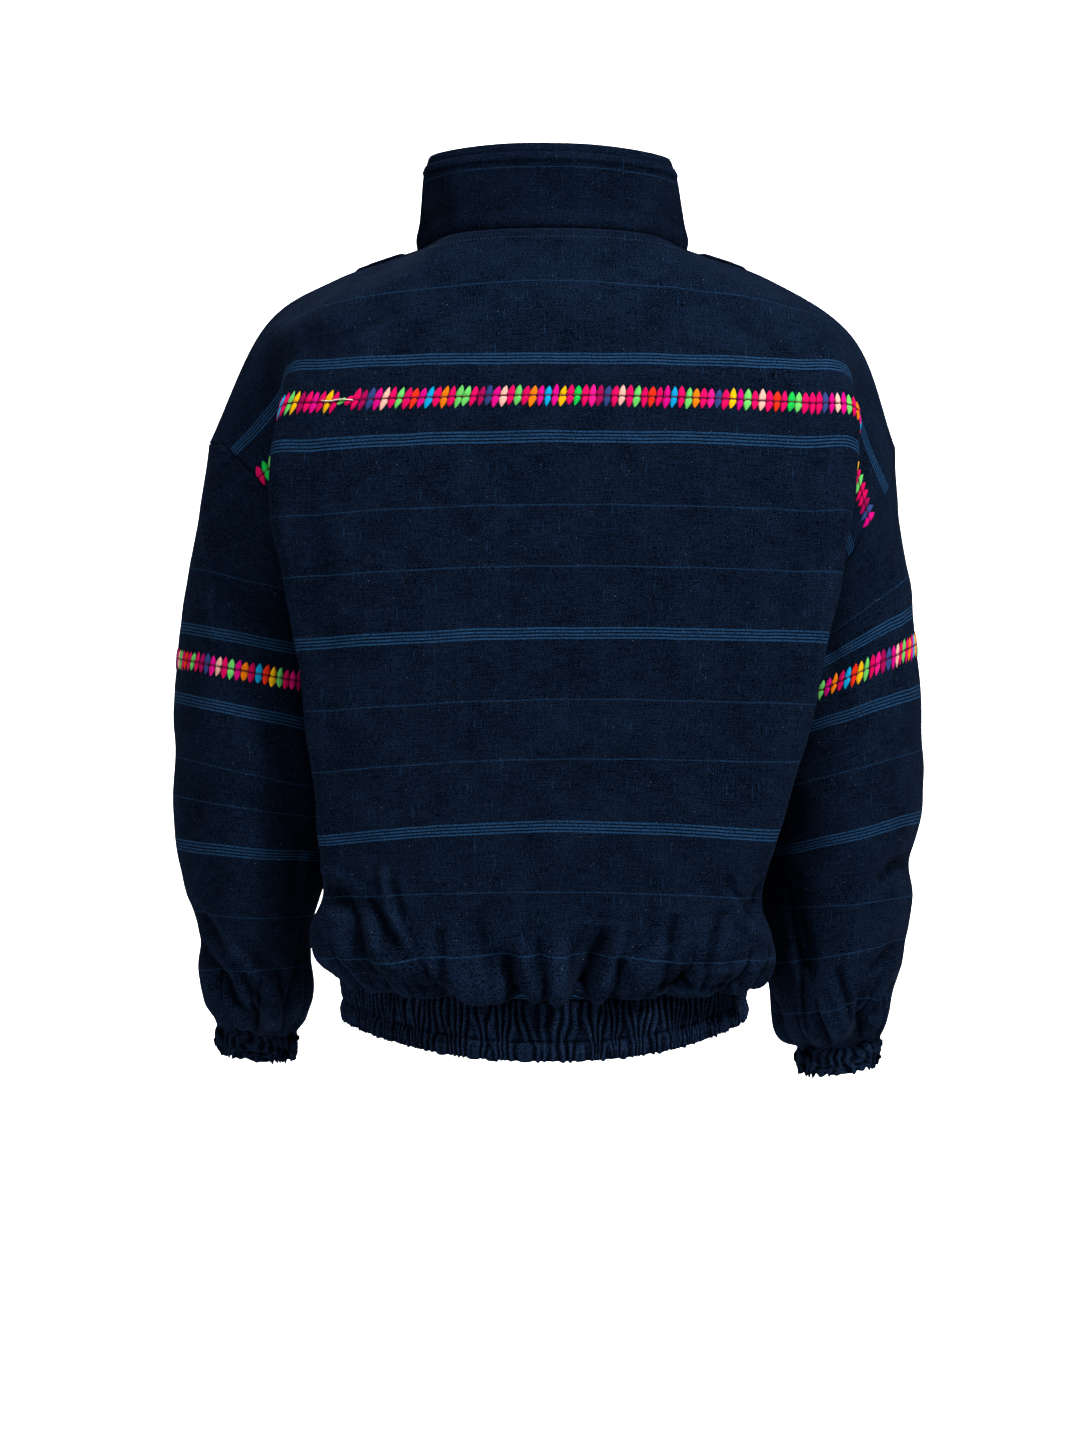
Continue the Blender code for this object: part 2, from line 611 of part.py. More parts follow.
def ring_points(ring, angles, sign):
    """A rounded section: outer side at angle 0, the back at 90 degrees, the inner side at 180."""
    half_x = (ring.outer_x - ring.inner_x) / 2
    middle_x = (ring.outer_x + ring.inner_x) / 2
    middle_y = (ring.back_y + ring.front_y) / 2
    half_y = (ring.back_y - ring.front_y) / 2
    share = (1 - np.cos(angles)) / 2
    x = middle_x + half_x * np.cos(angles)
    y = middle_y + half_y * np.sin(angles)
    z = ring.outer_z + (ring.inner_z - ring.outer_z) * share
    return np.stack([sign * x, y, z], axis=1) * MM


def cuff_ring(cuff, angles, sign, out, down):
    """Points round a cuff, moved out by out and down by down, both in metres."""
    x = sign * (cuff.centre_x * MM + (cuff.half_x * MM + out) * np.cos(angles))
    y = cuff.centre_y * MM + (cuff.half_y * MM + out) * np.sin(angles)
    share = (1 - np.cos(angles)) / 2
    z = (cuff.outer_z + (cuff.inner_z - cuff.outer_z) * share) * MM - down
    return np.stack([x, y, z], axis=1)


def gathered_band(name, ring_at, angles, channels, ring):
    """A gathered band: ridges and grooves round it, drawn in at its edges and along the stitching.

    ring_at gives the plain ring, moved out and at a share of the height."""
    groove = np.cos(np.arange(len(angles)) * pi)
    outer = [ring_at(angles, (row.out + groove * row.depth / 2) * MM, row.share) for row in channels]
    inner = [ring_at(angles, 0 * angles - BAND_WALL, share) for share in (0.0, 1.0)]
    return wall_object(name, np.array(outer), np.array(inner), "navy_cotton", ring)


def make_waistband():
    first = np.arcsin(ZIP_EDGE / BAND_LEFT_X)
    angles = np.linspace(-pi / 2 + first, 1.5 * pi - first, 2 * BAND_WAVES + 1)[::-1]

    def ring_at(around_angles, out, share):
        points = band_ring(around_angles, out, share)
        points[[0, -1], 0] = np.sign(points[[0, -1], 0]) * ZIP_EDGE
        return points

    gathered_band("waistband", ring_at, angles, BAND_CHANNELS, ring=False)


def make_cuff(name, cuff, sign):
    angles = np.linspace(0, 2 * pi, 2 * CUFF_WAVES, endpoint=False)
    if sign > 0:
        angles = angles[::-1]

    def ring_at(around_angles, out, share):
        return cuff_ring(cuff, around_angles, sign, out, share * CUFF_HEIGHT)

    gathered_band(name, ring_at, angles, CUFF_CHANNELS, ring=True)


def collar_lines(neckline, inset, trim):
    """The collar's base and top points, moved in by inset, cut off at trim from the middle."""
    middle = np.array([0, COLLAR_CENTRE_Y])
    spoke = unit(neckline[:, :2] - middle)
    half_x, half_y = COLLAR_TOP_HALF
    angle = np.arctan2((neckline[:, 1] - middle[1]) / half_y, neckline[:, 0] / half_x)
    top = np.stack([half_x * np.cos(angle), middle[1] + half_y * np.sin(angle),
                    around(angle, *COLLAR_TOP_Z)], axis=1)
    top[:, 2] += np.clip(top[:, 0] / half_x, 0, 1) * COLLAR_LEFT_RISE
    top[[0, -1], 0] = neckline[[0, -1], 0]
    lines = np.stack([top, neckline], axis=1)
    lines[:, :, :2] -= spoke[:, None] * inset
    lines[[0, -1], :, 0] = neckline[[0, -1], None, 0]
    if trim > ZIP_EDGE:
        reach = np.abs(neckline[:, 0])
        lines = np.concatenate([cut_end(lines, reach, trim), lines[(reach > trim)],
                                cut_end(lines[::-1], reach[::-1], trim)])
    return lines


def cut_end(lines, reach, trim):
    """The line between the first columns whose distance from the middle is trim."""
    after = int(np.argmax(reach > trim))
    part = (trim - reach[after - 1]) / (reach[after] - reach[after - 1])
    return (lines[after - 1] * (1 - part) + lines[after] * part)[None]


def make_collar(neckline):
    """Two layers round the neck. The inner one follows the outer one and stands above its edge."""
    inner_inset = COLLAR_INSET + COLLAR_WALL + COLLAR_LAYER_GAP
    layers = (("collar_outer", COLLAR_INSET, COLLAR_WALL, ZIP_EDGE, 0.0),
              ("collar_inner", inner_inset, CLOTH, INNER_COLLAR_EDGE, INNER_COLLAR_RISE))
    for name, inset, wall, trim, rise in layers:
        lines = [collar_lines(neckline, depth, trim) for depth in (inset, inset + wall)]
        walls = []
        for top, base in ((line[:, 0], line[:, 1]) for line in lines):
            shares = list(np.linspace(1, 0, COLLAR_STEPS + 1))
            height = np.linalg.norm(top - base, axis=1, keepdims=True)
            grid = [base + (top - base) * share for share in shares]
            if rise:
                grid.insert(0, base + (top - base) * (1 + rise / height))
            walls.append(np.array(grid))
        wall_object(name, walls[0], walls[1], "navy_cotton" if rise == 0 else "navy_cotton_facing")


def strip_on(name, grid, normals, seam_row, ring):
    """The band over a joining seam: the panel's own points above and below the seam, moved out.

    Where the panel twists between two columns the band stands a little further off it."""
    seam = grid[seam_row]
    rows, lifts, outs = [seam], [0 * seam[:, :1]], [normals[seam_row]]
    for step in (-1, 1):
        other = grid[seam_row + step]
        across = across_seam(seam, other, outs[0], ring)
        gap = ((other - seam) * across).sum(axis=1, keepdims=True)
        share = np.minimum(JOINING_HEIGHT / 2 / gap, JOINING_REACH)
        rows.append(seam + (other - seam) * share)
        outs.append(unit(normals[seam_row] * (1 - share) + normals[seam_row + step] * share))
        turn = other - seam
        twist = np.abs(np.gradient(turn, axis=0) * outs[0]).sum(axis=1, keepdims=True)
        lifts.append(twist * share * TWIST_LIFT)
    rows, outs, lifts = [np.array(values)[[1, 0, 2]] for values in (rows, outs, lifts)]
    lifts = np.maximum(lifts, lifts.max(axis=0, keepdims=True) * 0.5)
    base = rows + outs * (JOINING_LIFT + lifts)
    wall_object(name, base + outs * JOINING_WALL, base, "seam_thread", ring)


def zip_path(front):
    """The line of the zip from the collar's top to the hem, on the outer face of the cloth, as y, z."""
    line = [(COLLAR_CENTRE_Y - COLLAR_TOP_HALF[1] + ZIP_INSET, COLLAR_TOP_Z[2]),
            (front[0, 1] + ZIP_INSET, front[0, 2] - 1 * MM)]
    line += [(point[1], point[2]) for point in front[1:-1]]
    bottom = BAND_BOTTOM_Z[2]
    line += [(BAND_FRONT_Y + ZIP_INSET, bottom + share * BAND_HEIGHT) for share in BAND_ZIP_SHARES]
    return np.array(line)


def along_path(name, path, left, right, near, far, finish):
    """A flat strip that follows the zip's line between two distances from the middle."""
    tangent = unit(np.gradient(path, axis=0))
    inward = np.stack([-tangent[:, 1], tangent[:, 0]], axis=1)
    inward *= np.sign(inward[:, :1])

    def line(x, depth):
        moved = path + inward * depth
        return np.stack([np.full(len(path), x), moved[:, 0], moved[:, 1]], axis=1)

    outer = np.stack([line(right, near), line(left, near)], axis=1)
    inner = np.stack([line(right, far), line(left, far)], axis=1)
    return wall_object(name, outer, inner, finish)


def box_faces(low, high):
    x0, y0, z0 = low
    x1, y1, z1 = high
    points = [(x0, y0, z0), (x1, y0, z0), (x1, y1, z0), (x0, y1, z0),
              (x0, y0, z1), (x1, y0, z1), (x1, y1, z1), (x0, y1, z1)]
    faces = [(0, 3, 2, 1), (4, 5, 6, 7), (0, 1, 5, 4), (1, 2, 6, 5), (2, 3, 7, 6), (3, 0, 4, 7)]
    return points, faces


def framed_plate(outer_low, outer_high, hole_low, hole_high, thickness_axis):
    """A flat plate with a rectangular hole through it, along thickness_axis, as points and faces."""
    axes = [axis for axis in range(3) if axis != thickness_axis]
    near, far = outer_low[thickness_axis], outer_high[thickness_axis]
    loops = []
    for low, high in ((outer_low, outer_high), (hole_low, hole_high)):
        corners = ((low[axes[0]], low[axes[1]]), (high[axes[0]], low[axes[1]]),
                   (high[axes[0]], high[axes[1]]), (low[axes[0]], high[axes[1]]))
        for depth in (near, far):
            loop = []
            for first, second in corners:
                point = [0.0, 0.0, 0.0]
                point[axes[0]], point[axes[1]], point[thickness_axis] = first, second, depth
                loop.append(tuple(point))
            loops.append(loop)
    points = [point for loop in loops for point in loop]
    faces = []
    for i in range(4):
        j = (i + 1) % 4
        faces += [(i, j, 8 + j, 8 + i), (4 + j, 4 + i, 12 + i, 12 + j),
                  (j, i, 4 + i, 4 + j), (8 + i, 8 + j, 12 + j, 12 + i)]
    return points, faces


def placed(name, points, faces, finish, pivot, tilt, bevel=0.0):
    """A hard piece modelled about its pivot, turned by tilt about X and put at the pivot."""
    made = add_object(name, points, faces, finish, smooth=False)
    rounded = bmesh.new()
    rounded.from_mesh(made.data)
    bmesh.ops.recalc_face_normals(rounded, faces=rounded.faces)
    if bevel:
        bmesh.ops.bevel(rounded, geom=list(rounded.edges), offset=bevel, segments=1, affect="EDGES")
    rounded.to_mesh(made.data)
    rounded.free()
    made.matrix_world = Matrix.Translation(pivot) @ Matrix.Rotation(tilt, 4, "X")
    return made


def make_slider_and_pull(path):
    """The zip's slider near the top of the collar, and the pull that hangs from its bridge."""
    top, under = path[0], path[1]
    slope = unit(under - top)
    seat = top + slope * (CHAIN_TOP_INSET + SLIDER_SIZE.z / 2)
    tilt = float(np.arctan2(slope[0], -slope[1]))
    outward = np.array([slope[1], -slope[0]])
    outward *= -np.sign(outward[0])
    face = seat - outward * (CHAIN_DEPTH - SEAT_GAP)
    pivot = Vector((0, face[0], face[1]))
    half = SLIDER_SIZE / 2
    clear_y, clear_z = BRIDGE_CLEAR.y, BRIDGE_CLEAR.z
    body = box_faces((-half.x, -SLIDER_SIZE.y, -half.z), (half.x, 0, half.z))
    slider = placed("zip_slider", *body, "zip_metal", pivot, tilt, bevel=SLIDER_EDGE)
    near = -SLIDER_SIZE.y
    bridge = framed_plate((-BRIDGE_WIDTH / 2, near - clear_y - BRIDGE_BAR, -clear_z / 2 - BRIDGE_BAR),
                          (BRIDGE_WIDTH / 2, near + BRIDGE_BAR, clear_z / 2 + BRIDGE_BAR),
                          (0, near - clear_y, -clear_z / 2), (0, near, clear_z / 2), 0)
    arch = placed("zip_bridge", *bridge, "zip_metal", pivot, tilt)
    arch.hide_render = True
    arch.display_type = "WIRE"
    joined = slider.modifiers.new("Bridge", "BOOLEAN")
    joined.operation = "UNION"
    joined.object = arch
    turn = Matrix.Rotation(tilt, 4, "X")
    axis_point = pivot + turn @ Vector((0, near - clear_y / 2, 0))
    bar = PULL_BAR / 2
    plate = framed_plate((-PULL_SIZE.x / 2, -PULL_SIZE.y / 2, bar - PULL_SIZE.z),
                         (PULL_SIZE.x / 2, PULL_SIZE.y / 2, bar),
                         (-PULL_HOLE[0] / 2, 0, -bar - PULL_HOLE[1]), (PULL_HOLE[0] / 2, 0, -bar), 1)
    placed("zip_pull", *plate, "zip_metal", axis_point, tilt)


def main():
    for old in list(bpy.data.objects):
        bpy.data.objects.remove(old)
    places = station_columns()
    seam = len(UPPER_ROWS) - 1
    rows = np.array(UPPER_ROWS + LOWER_ROWS[1:], float)
    underarm = list(rows).index(UNDERARM)
    neck = int(np.argmin(np.abs(places - NECK_STATION)))
    middle = len(places) - 1

    back = back_grid(rows, places)
    left = front_grid("left", rows, places)
    right = front_grid("right", rows, places)
    for front, rear in ((left[:, ::-1], back[:, middle:]), (right, back[:, middle::-1])):
        front[0, neck:] = rear[0, neck:]
        front[underarm:, -1] = rear[underarm:, -1]
    body = {name: Panel(name, grid) for name, grid in
            (("back", back), ("front_left", left), ("front_right", right))}
    sleeves = {}
    for side, sign in (("left", 1), ("right", -1)):
        back_edge = back[: underarm + 1, -1 if sign > 0 else 0]
        front = left if sign > 0 else right
        front_edge = front[: underarm + 1, 0 if sign > 0 else -1]
        arm, cuff = (ARM_LEFT, CUFF_LEFT) if sign > 0 else (ARM_RIGHT, CUFF_RIGHT)
        rings = sleeve_rings(arm, cuff, sign, back_edge, front_edge)
        sleeves[side] = Panel("sleeve_" + side, rings, ring=True)

    share_seams(body, sleeves, neck, middle, underarm)
    strip_on("seam_band_back", back, body["back"].normals, seam, False)
    for side, sleeve in sleeves.items():
        strip_on("seam_band_" + side, sleeve.points, sleeve.normals, ELBOW_RING, True)

    pieces = []
    for name, low, high in (("back_upper", 0, seam), ("back_lower", seam, len(rows) - 1)):
        piece = Panel(name, body["back"].points[low : high + 1].copy())
        piece.normals = body["back"].normals[low : high + 1]
        pieces.append(piece)
    pieces[0].pull_in("bottom")
    pieces[1].pull_in("top")
    for side in ("left", "right"):
        pieces.append(body["front_" + side])
    for piece in pieces:
        piece.pull_in("first")
        piece.pull_in("last")
    for piece in (pieces[0], pieces[2], pieces[3]):
        piece.pull_in("top")
    for side, sleeve in sleeves.items():
        for part, low, high in (("upper", 0, ELBOW_RING), ("lower", ELBOW_RING, len(sleeve.points) - 1)):
            piece = Panel("sleeve_%s_%s" % (part, side), sleeve.points[low : high + 1].copy(), ring=True)
            piece.normals = sleeve.normals[low : high + 1]
            piece.pull_in("top", SLEEVE_GAP_SHARE)
            if part == "upper":
                piece.pull_in("bottom")
            pieces.append(piece)
    for piece in pieces:
        make_panel(piece, "navy_cotton")

    make_waistband()
    make_cuff("cuff_left", CUFF_LEFT, 1)
    make_cuff("cuff_right", CUFF_RIGHT, -1)
    neckline = np.concatenate([
        right[0, : neck + 1], back[0, middle - neck : middle + neck + 1][1:-1], left[0, middle - neck :]])
    make_collar(neckline)

    path = zip_path(left[:, -1])
    edge, far = CHAIN_WIDTH / 2, CHAIN_WIDTH / 2 + TAPE_WIDTH
    tape = (TAPE_DEPTH, TAPE_DEPTH + TAPE_WALL, "zip_tape")
    along_path("zip_tape_left", path, edge + SEAT_GAP, far, *tape)
    along_path("zip_tape_right", path, -far, -edge - SEAT_GAP, *tape)
    along_path("zip_chain", path, -edge, edge, CHAIN_DEPTH, CHAIN_DEPTH + CHAIN_WALL, "zip_metal")
    make_slider_and_pull(path)


def share_seams(body, sleeves, neck, middle, underarm):
    """Panels that meet at a seam get the same normals there, so that their rims lie side by side."""
    back, left, right = body["back"].normals, body["front_left"].normals, body["front_right"].normals
    agree(back[0, middle + neck :], left[0, : middle - neck + 1][::-1])
    agree(back[0, : middle - neck + 1], right[0, neck:][::-1])
    agree(back[underarm:, -1], left[underarm:, 0])
    agree(back[underarm:, 0], right[underarm:, -1])
    for side, rear, fore, sleeve in (
        ("left", back[: underarm + 1, -1], left[: underarm + 1, 0], sleeves["left"]),
        ("right", back[: underarm + 1, 0], right[: underarm + 1, -1], sleeves["right"]),
    ):
        ring = sleeve.normals[0][::-1] if side == "left" else sleeve.normals[0]
        around_ring = np.concatenate([rear, fore[-2:0:-1]])
        around_ring[0] = unit(rear[0] + fore[0])
        around_ring[underarm] = unit(rear[-1] + fore[-1])
        agree(around_ring, ring)
        rear[...] = around_ring[: underarm + 1]
        fore[...] = np.concatenate([around_ring[:1], around_ring[:underarm - 1:-1]])


main()
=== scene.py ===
"""A worn cotton blouson jacket: handwoven indigo cloth with pale weft lines, embroidered joining seams,
a stand collar, and gathered elastic at the hem and cuffs.

Metres, +Z up. The back faces +Y and the wearer's left is +X. The tables below are the jacket's own
sections, in millimetres, and every panel is worked out from them on a grid: rows run down the cloth and
columns run across it, so a place on a panel is also a place on the flat cloth.
"""

import functools
from collections import namedtuple
from math import pi

import bpy
import numpy as np
from bpy.props import FloatProperty, FloatVectorProperty, IntProperty, PointerProperty
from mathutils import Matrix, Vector


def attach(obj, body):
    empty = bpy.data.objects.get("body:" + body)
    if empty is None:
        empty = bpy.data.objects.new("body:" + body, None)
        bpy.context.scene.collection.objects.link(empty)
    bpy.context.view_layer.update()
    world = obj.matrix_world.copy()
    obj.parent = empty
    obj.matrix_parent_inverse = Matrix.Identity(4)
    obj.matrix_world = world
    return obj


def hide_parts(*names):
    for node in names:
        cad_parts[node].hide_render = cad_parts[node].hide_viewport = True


bl_info = {
    "name": "Cotton blouson jacket",
    "version": (1, 0, 0),
    "blender": (4, 5, 0),
    "location": "3D View > Sidebar > Jacket",
    "description": "Builds a worn handwoven blouson with embroidered seams, zip and gathered bands",
    "category": "Add Mesh",
}

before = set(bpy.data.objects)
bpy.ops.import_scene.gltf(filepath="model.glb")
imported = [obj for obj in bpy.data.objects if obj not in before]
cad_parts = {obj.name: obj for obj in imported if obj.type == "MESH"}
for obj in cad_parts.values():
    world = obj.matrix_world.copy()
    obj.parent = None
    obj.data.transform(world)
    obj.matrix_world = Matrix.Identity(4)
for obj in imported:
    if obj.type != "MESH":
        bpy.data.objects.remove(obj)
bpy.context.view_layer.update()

MM = 0.001


def table(kind, *rows):
    """Rows of numbers, each as a named tuple of that kind."""
    return tuple(kind(*row) for row in rows)


# Driving dimensions
CLOTH = 2.0 * MM
SEAM_GAP = 0.45 * MM
HALF_GAP = 0.5  # of the seam's gap, by which each of two panels is drawn in
SLEEVE_GAP_SHARE = 1.0  # by which a sleeve's own top edge is drawn in
HEM_LIFT = 1.0 * MM  # the panels' straight stretches dip below their curve and end up a seam's gap away
JOINING_SEAM = 165.0  # cloth, in mm below the neck seam, where the two widths of the back join
UNDERARM = 325.0
HEM = 690.0
ZIP_EDGE = 6.5 * MM  # half the opening between the two front edges

# Across a row: centre, two points on the flat of the panel, the edge of the big fold at the side,
# the valley behind it, and the armhole or side seam
STATIONS = (0.0, 0.22, 0.42, 0.60, 0.80, 1.0)
NECK_STATION = STATIONS[2]
COLUMNS_BETWEEN = (20, 20, 22, 30, 22)

Centre = namedtuple("Centre", "row back_y back_z front_y front_z")
CENTRE = table(
    Centre,
    (0, 85, 0.5, -66, -50),
    (60, 120, -49, -98, -84),
    (132, 145, -117, -124, -128),
    (165, 150, -149, -134, -155),
    (199, 153, -183, -141, -186),
    (255, 157, -240, -148, -240),
    (307, 158, -291, -152, -290),
    (363, 158, -347, -154, -345),
    (419, 157, -403, -155, -400),
    (469, 155, -453, -155, -450),
    (526, 153, -510, -151, -506),
    (583, 151, -567, -144, -562),
    (620, 151, -603, -137, -597),
    (645, 149, -628, -132, -614),
    (665, 143, -648, -129, -623),
    (680, 135, -658, -127.8, -627.5),
)

# The big fold at each side of the back, the valley between it and the arm, and the seam's edge
Side = namedtuple("Side", "row fold_x fold_y fold_z valley_x valley_y valley_z edge_x edge_y edge_z")
BACK_LEFT = table(
    Side,
    (0, 191, 0, -36, 252, -3, -77, 300, 0, -179),
    (60, 219, 56, -73, 256, 28, -104, 293, 24, -182),
    (132, 221, 98, -121, 236, 60, -148, 276, 47, -190),
    (165, 230, 108, -156, 226, 68, -188, 252, 66, -214),
    (199, 238, 113, -191, 215, 70, -222, 232, 66, -240),
    (255, 238, 116, -249, 200, 64, -262, 207, 46, -270),
    (290, 232, 117, -281, 194, 64, -284, 194, 22, -284),
    (325, 225, 117, -317, 188, 64, -315, 187, 0, -290),
    (363, 217, 117, -354, 182, 62, -350, 176, 0, -340),
    (419, 210, 116, -411, 175, 60, -408, 170, 0, -402),
    (469, 204, 115, -463, 172, 58, -460, 168, 0, -456),
    (526, 198, 114, -521, 172, 60, -517, 168, 0, -510),
    (583, 193, 112, -573, 184, 68, -568, 180, 0, -560),
    (620, 198, 104, -606, 202, 60, -598, 199, 0, -590),
    (645, 194, 100, -629, 203, 56, -619, 201, 0, -610),
    (665, 182, 93, -644, 190, 54, -632, 189, 0, -622),
    (680, 174, 83, -648, 181, 50, -637, 182, 0, -628),
)
BACK_RIGHT = table(
    Side,
    (0, 193, 0, -35, 268, -3, -87, 304, 0, -183),
    (60, 238, 58, -76, 276, 28, -112, 299, 24, -203),
    (132, 253, 99, -122, 268, 62, -166, 293, 46, -224),
    (165, 262, 108, -157, 262, 71, -199, 276, 64, -252),
    (199, 261, 113, -189, 251, 73, -238, 258, 66, -282),
    (255, 257, 116, -247, 231, 70, -286, 229, 50, -310),
    (290, 252, 117, -281, 216, 68, -308, 207, 26, -323),
    (325, 245, 117, -316, 203, 66, -336, 190, 0, -333),
    (363, 236, 117, -352, 189, 62, -358, 178, 0, -366),
    (419, 226, 116, -409, 176, 60, -408, 170, 0, -410),
    (469, 213, 115, -458, 170, 58, -460, 167, 0, -458),
    (526, 195, 114, -521, 166, 60, -517, 165, 0, -510),
    (583, 178, 112, -575, 169, 70, -568, 168, 0, -560),
    (620, 180, 104, -610, 181, 62, -600, 179, 0, -592),
    (645, 184, 100, -633, 184, 58, -621, 181, 0, -612),
    (665, 178, 93, -647, 182, 54, -634, 180, 0, -623),
    (680, 170, 83, -650, 176, 50, -638, 175, 0, -628),
)
# The fronts have the same cut, with softer folds. Their edge is the back's, and the valley's x is
# given from it.
FrontSide = namedtuple("FrontSide", "row fold_x fold_y fold_drop valley_in valley_y valley_drop edge_y")
FRONT = table(
    FrontSide,
    (0, 191, 0, 0, 0, -3, 0, 0),
    (60, 214, -48, 8, 31, -34, 6, -32),
    (132, 222, -88, 6, 26, -66, 12, -64),
    (165, 224, -101, 6, 12, -80, 14, -82),
    (199, 224, -110, 6, 4, -88, 12, -90),
    (255, 221, -117, 6, -2, -82, 6, -66),
    (290, 217, -120, 6, -6, -76, 4, -34),
    (325, 213, -121, 6, -5, -70, 4, 0),
    (363, 208, -121, 6, -8, -62, 4, 0),
    (419, 203, -120, 6, -8, -58, 4, 0),
    (469, 199, -119, 6, -7, -56, 4, 0),
    (526, 195, -117, 6, -6, -56, 4, 0),
    (583, 190, -115, 4, 0, -58, 2, 0),
    (620, 188, -112, 2, 9, -58, 0, 0),
    (645, 183, -108, 0, 11, -56, -2, 0),
    (665, 173, -99, -2, 8, -53, -2, 0),
    (680, 163, -88, -2, 6, -50, -2, 0),
)

# How far each front stands out beside the zip, in mm, at these rows
BULGE_ROWS = (0, 469, 526, 583, 620, 645, 665, 680)
BULGE = (0, 0, 3, 7, 11, 11, 8, 4)

# The two points on the flat of a panel: share of the way out to the fold, and share of its turn
FLAT_POINTS = ((0.50, 0.10), (0.82, 0.40))

# The neckline, in mm: y and z at the centre, then a point between as its share of the way out, y and z
NECK_BACK = ((85, 0.5), (0.68, 65, -2))
NECK_FRONT = ((-66, -50), (0.72, -43, -39))
SHOULDER_SEAM_START = (14, -11)

# Gathers above the waistband: place across the row, half width, depth in mm and how far up they run
Gather = namedtuple("Gather", "place half_width depth reach")
GATHER_CLOSES = 0.8  # of the way down, where the gathers run out above the band
BACK_GATHERS = table(
    Gather,
    (-0.74, 0.050, 5.0, 40), (-0.56, 0.045, 7.0, 55), (-0.40, 0.040, 5.0, 45), (-0.24, 0.045, 7.0, 60),
    (-0.07, 0.045, 9.0, 80), (0.10, 0.040, 6.0, 60), (0.26, 0.045, 6.0, 50), (0.43, 0.050, 9.0, 105),
    (0.58, 0.045, 6.0, 50), (0.75, 0.050, 5.0, 40),
)
FRONT_GATHERS = table(
    Gather,
    (0.16, 0.050, 5.0, 50), (0.33, 0.050, 7.0, 65), (0.50, 0.045, 5.0, 45), (0.67, 0.050, 6.0, 55),
    (0.84, 0.045, 4.0, 40),
)

# Sleeve rings below the armhole: heights of the outer and inner side, their distance from the
# middle of the jacket, and how far the ring reaches to the back and the front
Ring = namedtuple("Ring", "outer_z inner_z outer_x inner_x back_y front_y")
ARM_LEFT = table(
    Ring,
    (-212, -299, 309, 195, 67, -88),
    (-250, -308, 313, 198, 67, -92),
    (-288, -318, 319, 197, 68, -95),
    (-341, -366, 326, 190, 72, -98),
    (-368, -395, 329, 187, 74, -100),
    (-402, -431, 331.5, 185, 76, -102),
    (-453, -486, 332, 184, 76, -106),
    (-488, -510, 332.5, 186, 72, -108),
    (-531, -543, 331, 191, 66, -110),
    (-565, -571, 325, 200, 60, -110),
    (-592, -595, 316, 208, 56, -108),
    (-617, -618, 311, 212, 52, -105),
    (-642, -638, 312, 212, 48, -102),
    (-666, -662, 305, 212, 42, -96),
    (-682, -684, 298, 217, 32, -84),
)
ARM_RIGHT = table(
    Ring,
    (-222, -350, 307, 203, 67, -88),
    (-258, -364, 312, 205, 67, -92),
    (-295, -376, 317, 202, 68, -95),
    (-326, -394, 320, 197, 72, -98),
    (-355, -417, 323, 191, 74, -100),
    (-396, -440, 326.5, 187, 76, -102),
    (-447, -486, 330, 184, 76, -106),
    (-475, -511, 330, 184, 74, -108),
    (-506, -540, 328, 185, 70, -110),
    (-545, -565, 319, 186, 64, -110),
    (-577, -588, 321, 188, 60, -108),
    (-614, -637, 316, 191, 56, -106),
    (-640, -658, 311.5, 194, 52, -104),
    (-662, -680, 304, 198, 46, -98),
    (-684, -698, 300, 204, 38, -88),
)
ELBOW_RING = 5  # the ring at which the two lengths of the sleeve join, counted from the armhole
ARMHOLE_BLEND = (0.0, 0.5, 0.85)  # how round the first rings are; the armhole's own shape is 0
ARMHOLE_FALL = 9 * MM  # each of the first rings hangs at least this far below the one above

Cuff = namedtuple("Cuff", "centre_x centre_y half_x half_y outer_z inner_z")
CUFF_LEFT = Cuff(260.5, -34, 34.0, 36, -690, -698)
CUFF_RIGHT = Cuff(256.5, -34, 35.0, 37, -701, -710)
SLEEVE_END_OUT = 1.0 * MM  # how far the sleeve's end stands outside the cuff's ring
CUFF_HEIGHT = 22 * MM
CUFF_WAVES = 26
# Down a gathered band: share from the top, how far it stands out and how deep its grooves are, in mm
Channel = namedtuple("Channel", "share out depth")
CUFF_CHANNELS = table(
    Channel,
    (0.0, 0.2, 0.3), (0.35, 1.9, 2.0), (0.70, 1.9, 2.0), (1.0, 0.5, 0.8),
)

# Collar: a ring round the neck, higher behind than in front
COLLAR_CENTRE_Y = 10 * MM
COLLAR_TOP_HALF = (112 * MM, 71 * MM)
COLLAR_WALL = 2.4 * MM
COLLAR_INSET = 0.9 * MM  # from the neckline in to the outer layer
COLLAR_LAYER_GAP = 0.85 * MM
COLLAR_TOP_Z = (67 * MM, 60 * MM, 30 * MM)  # behind, at the sides, in front
COLLAR_LEFT_RISE = 2.5 * MM
INNER_COLLAR_RISE = 8 * MM
INNER_COLLAR_EDGE = 16 * MM
COLLAR_ROWS = 27
# Swellings round the collar: how far out in mm, how far down it as a share, and how wide
COLLAR_SWELLS = (
    (1.5, 0.86, 0.12), (-1.1, 1.0, 0.05), (-1.3, 0.0, 0.035), (0.7, 0.07, 0.035), (-0.5, 0.13, 0.03),
)

# Waistband: two elastic channels with a row of stitching between them
BAND_LEFT_X = 182 * MM
BAND_RIGHT_X = 172 * MM
BAND_BACK_Y = 127 * MM
BAND_FRONT_Y = -127 * MM
BAND_HEIGHT = 52 * MM
BAND_BOTTOM_Z = (-713 * MM, -684 * MM, -682 * MM)  # behind, at the sides, in front
BAND_SQUARENESS = 0.86  # below 1 the ring is fuller at its corners than an ellipse
BAND_CHANNELS = table(
    Channel,
    (0.0, 0.0, 0.3), (0.30, 2.2, 2.0), (0.66, 0.4, 0.8), (0.84, 2.0, 2.0), (1.0, 0.6, 0.8),
)

BAND_ROWS = 25
COLUMNS_A_GATHER = 8
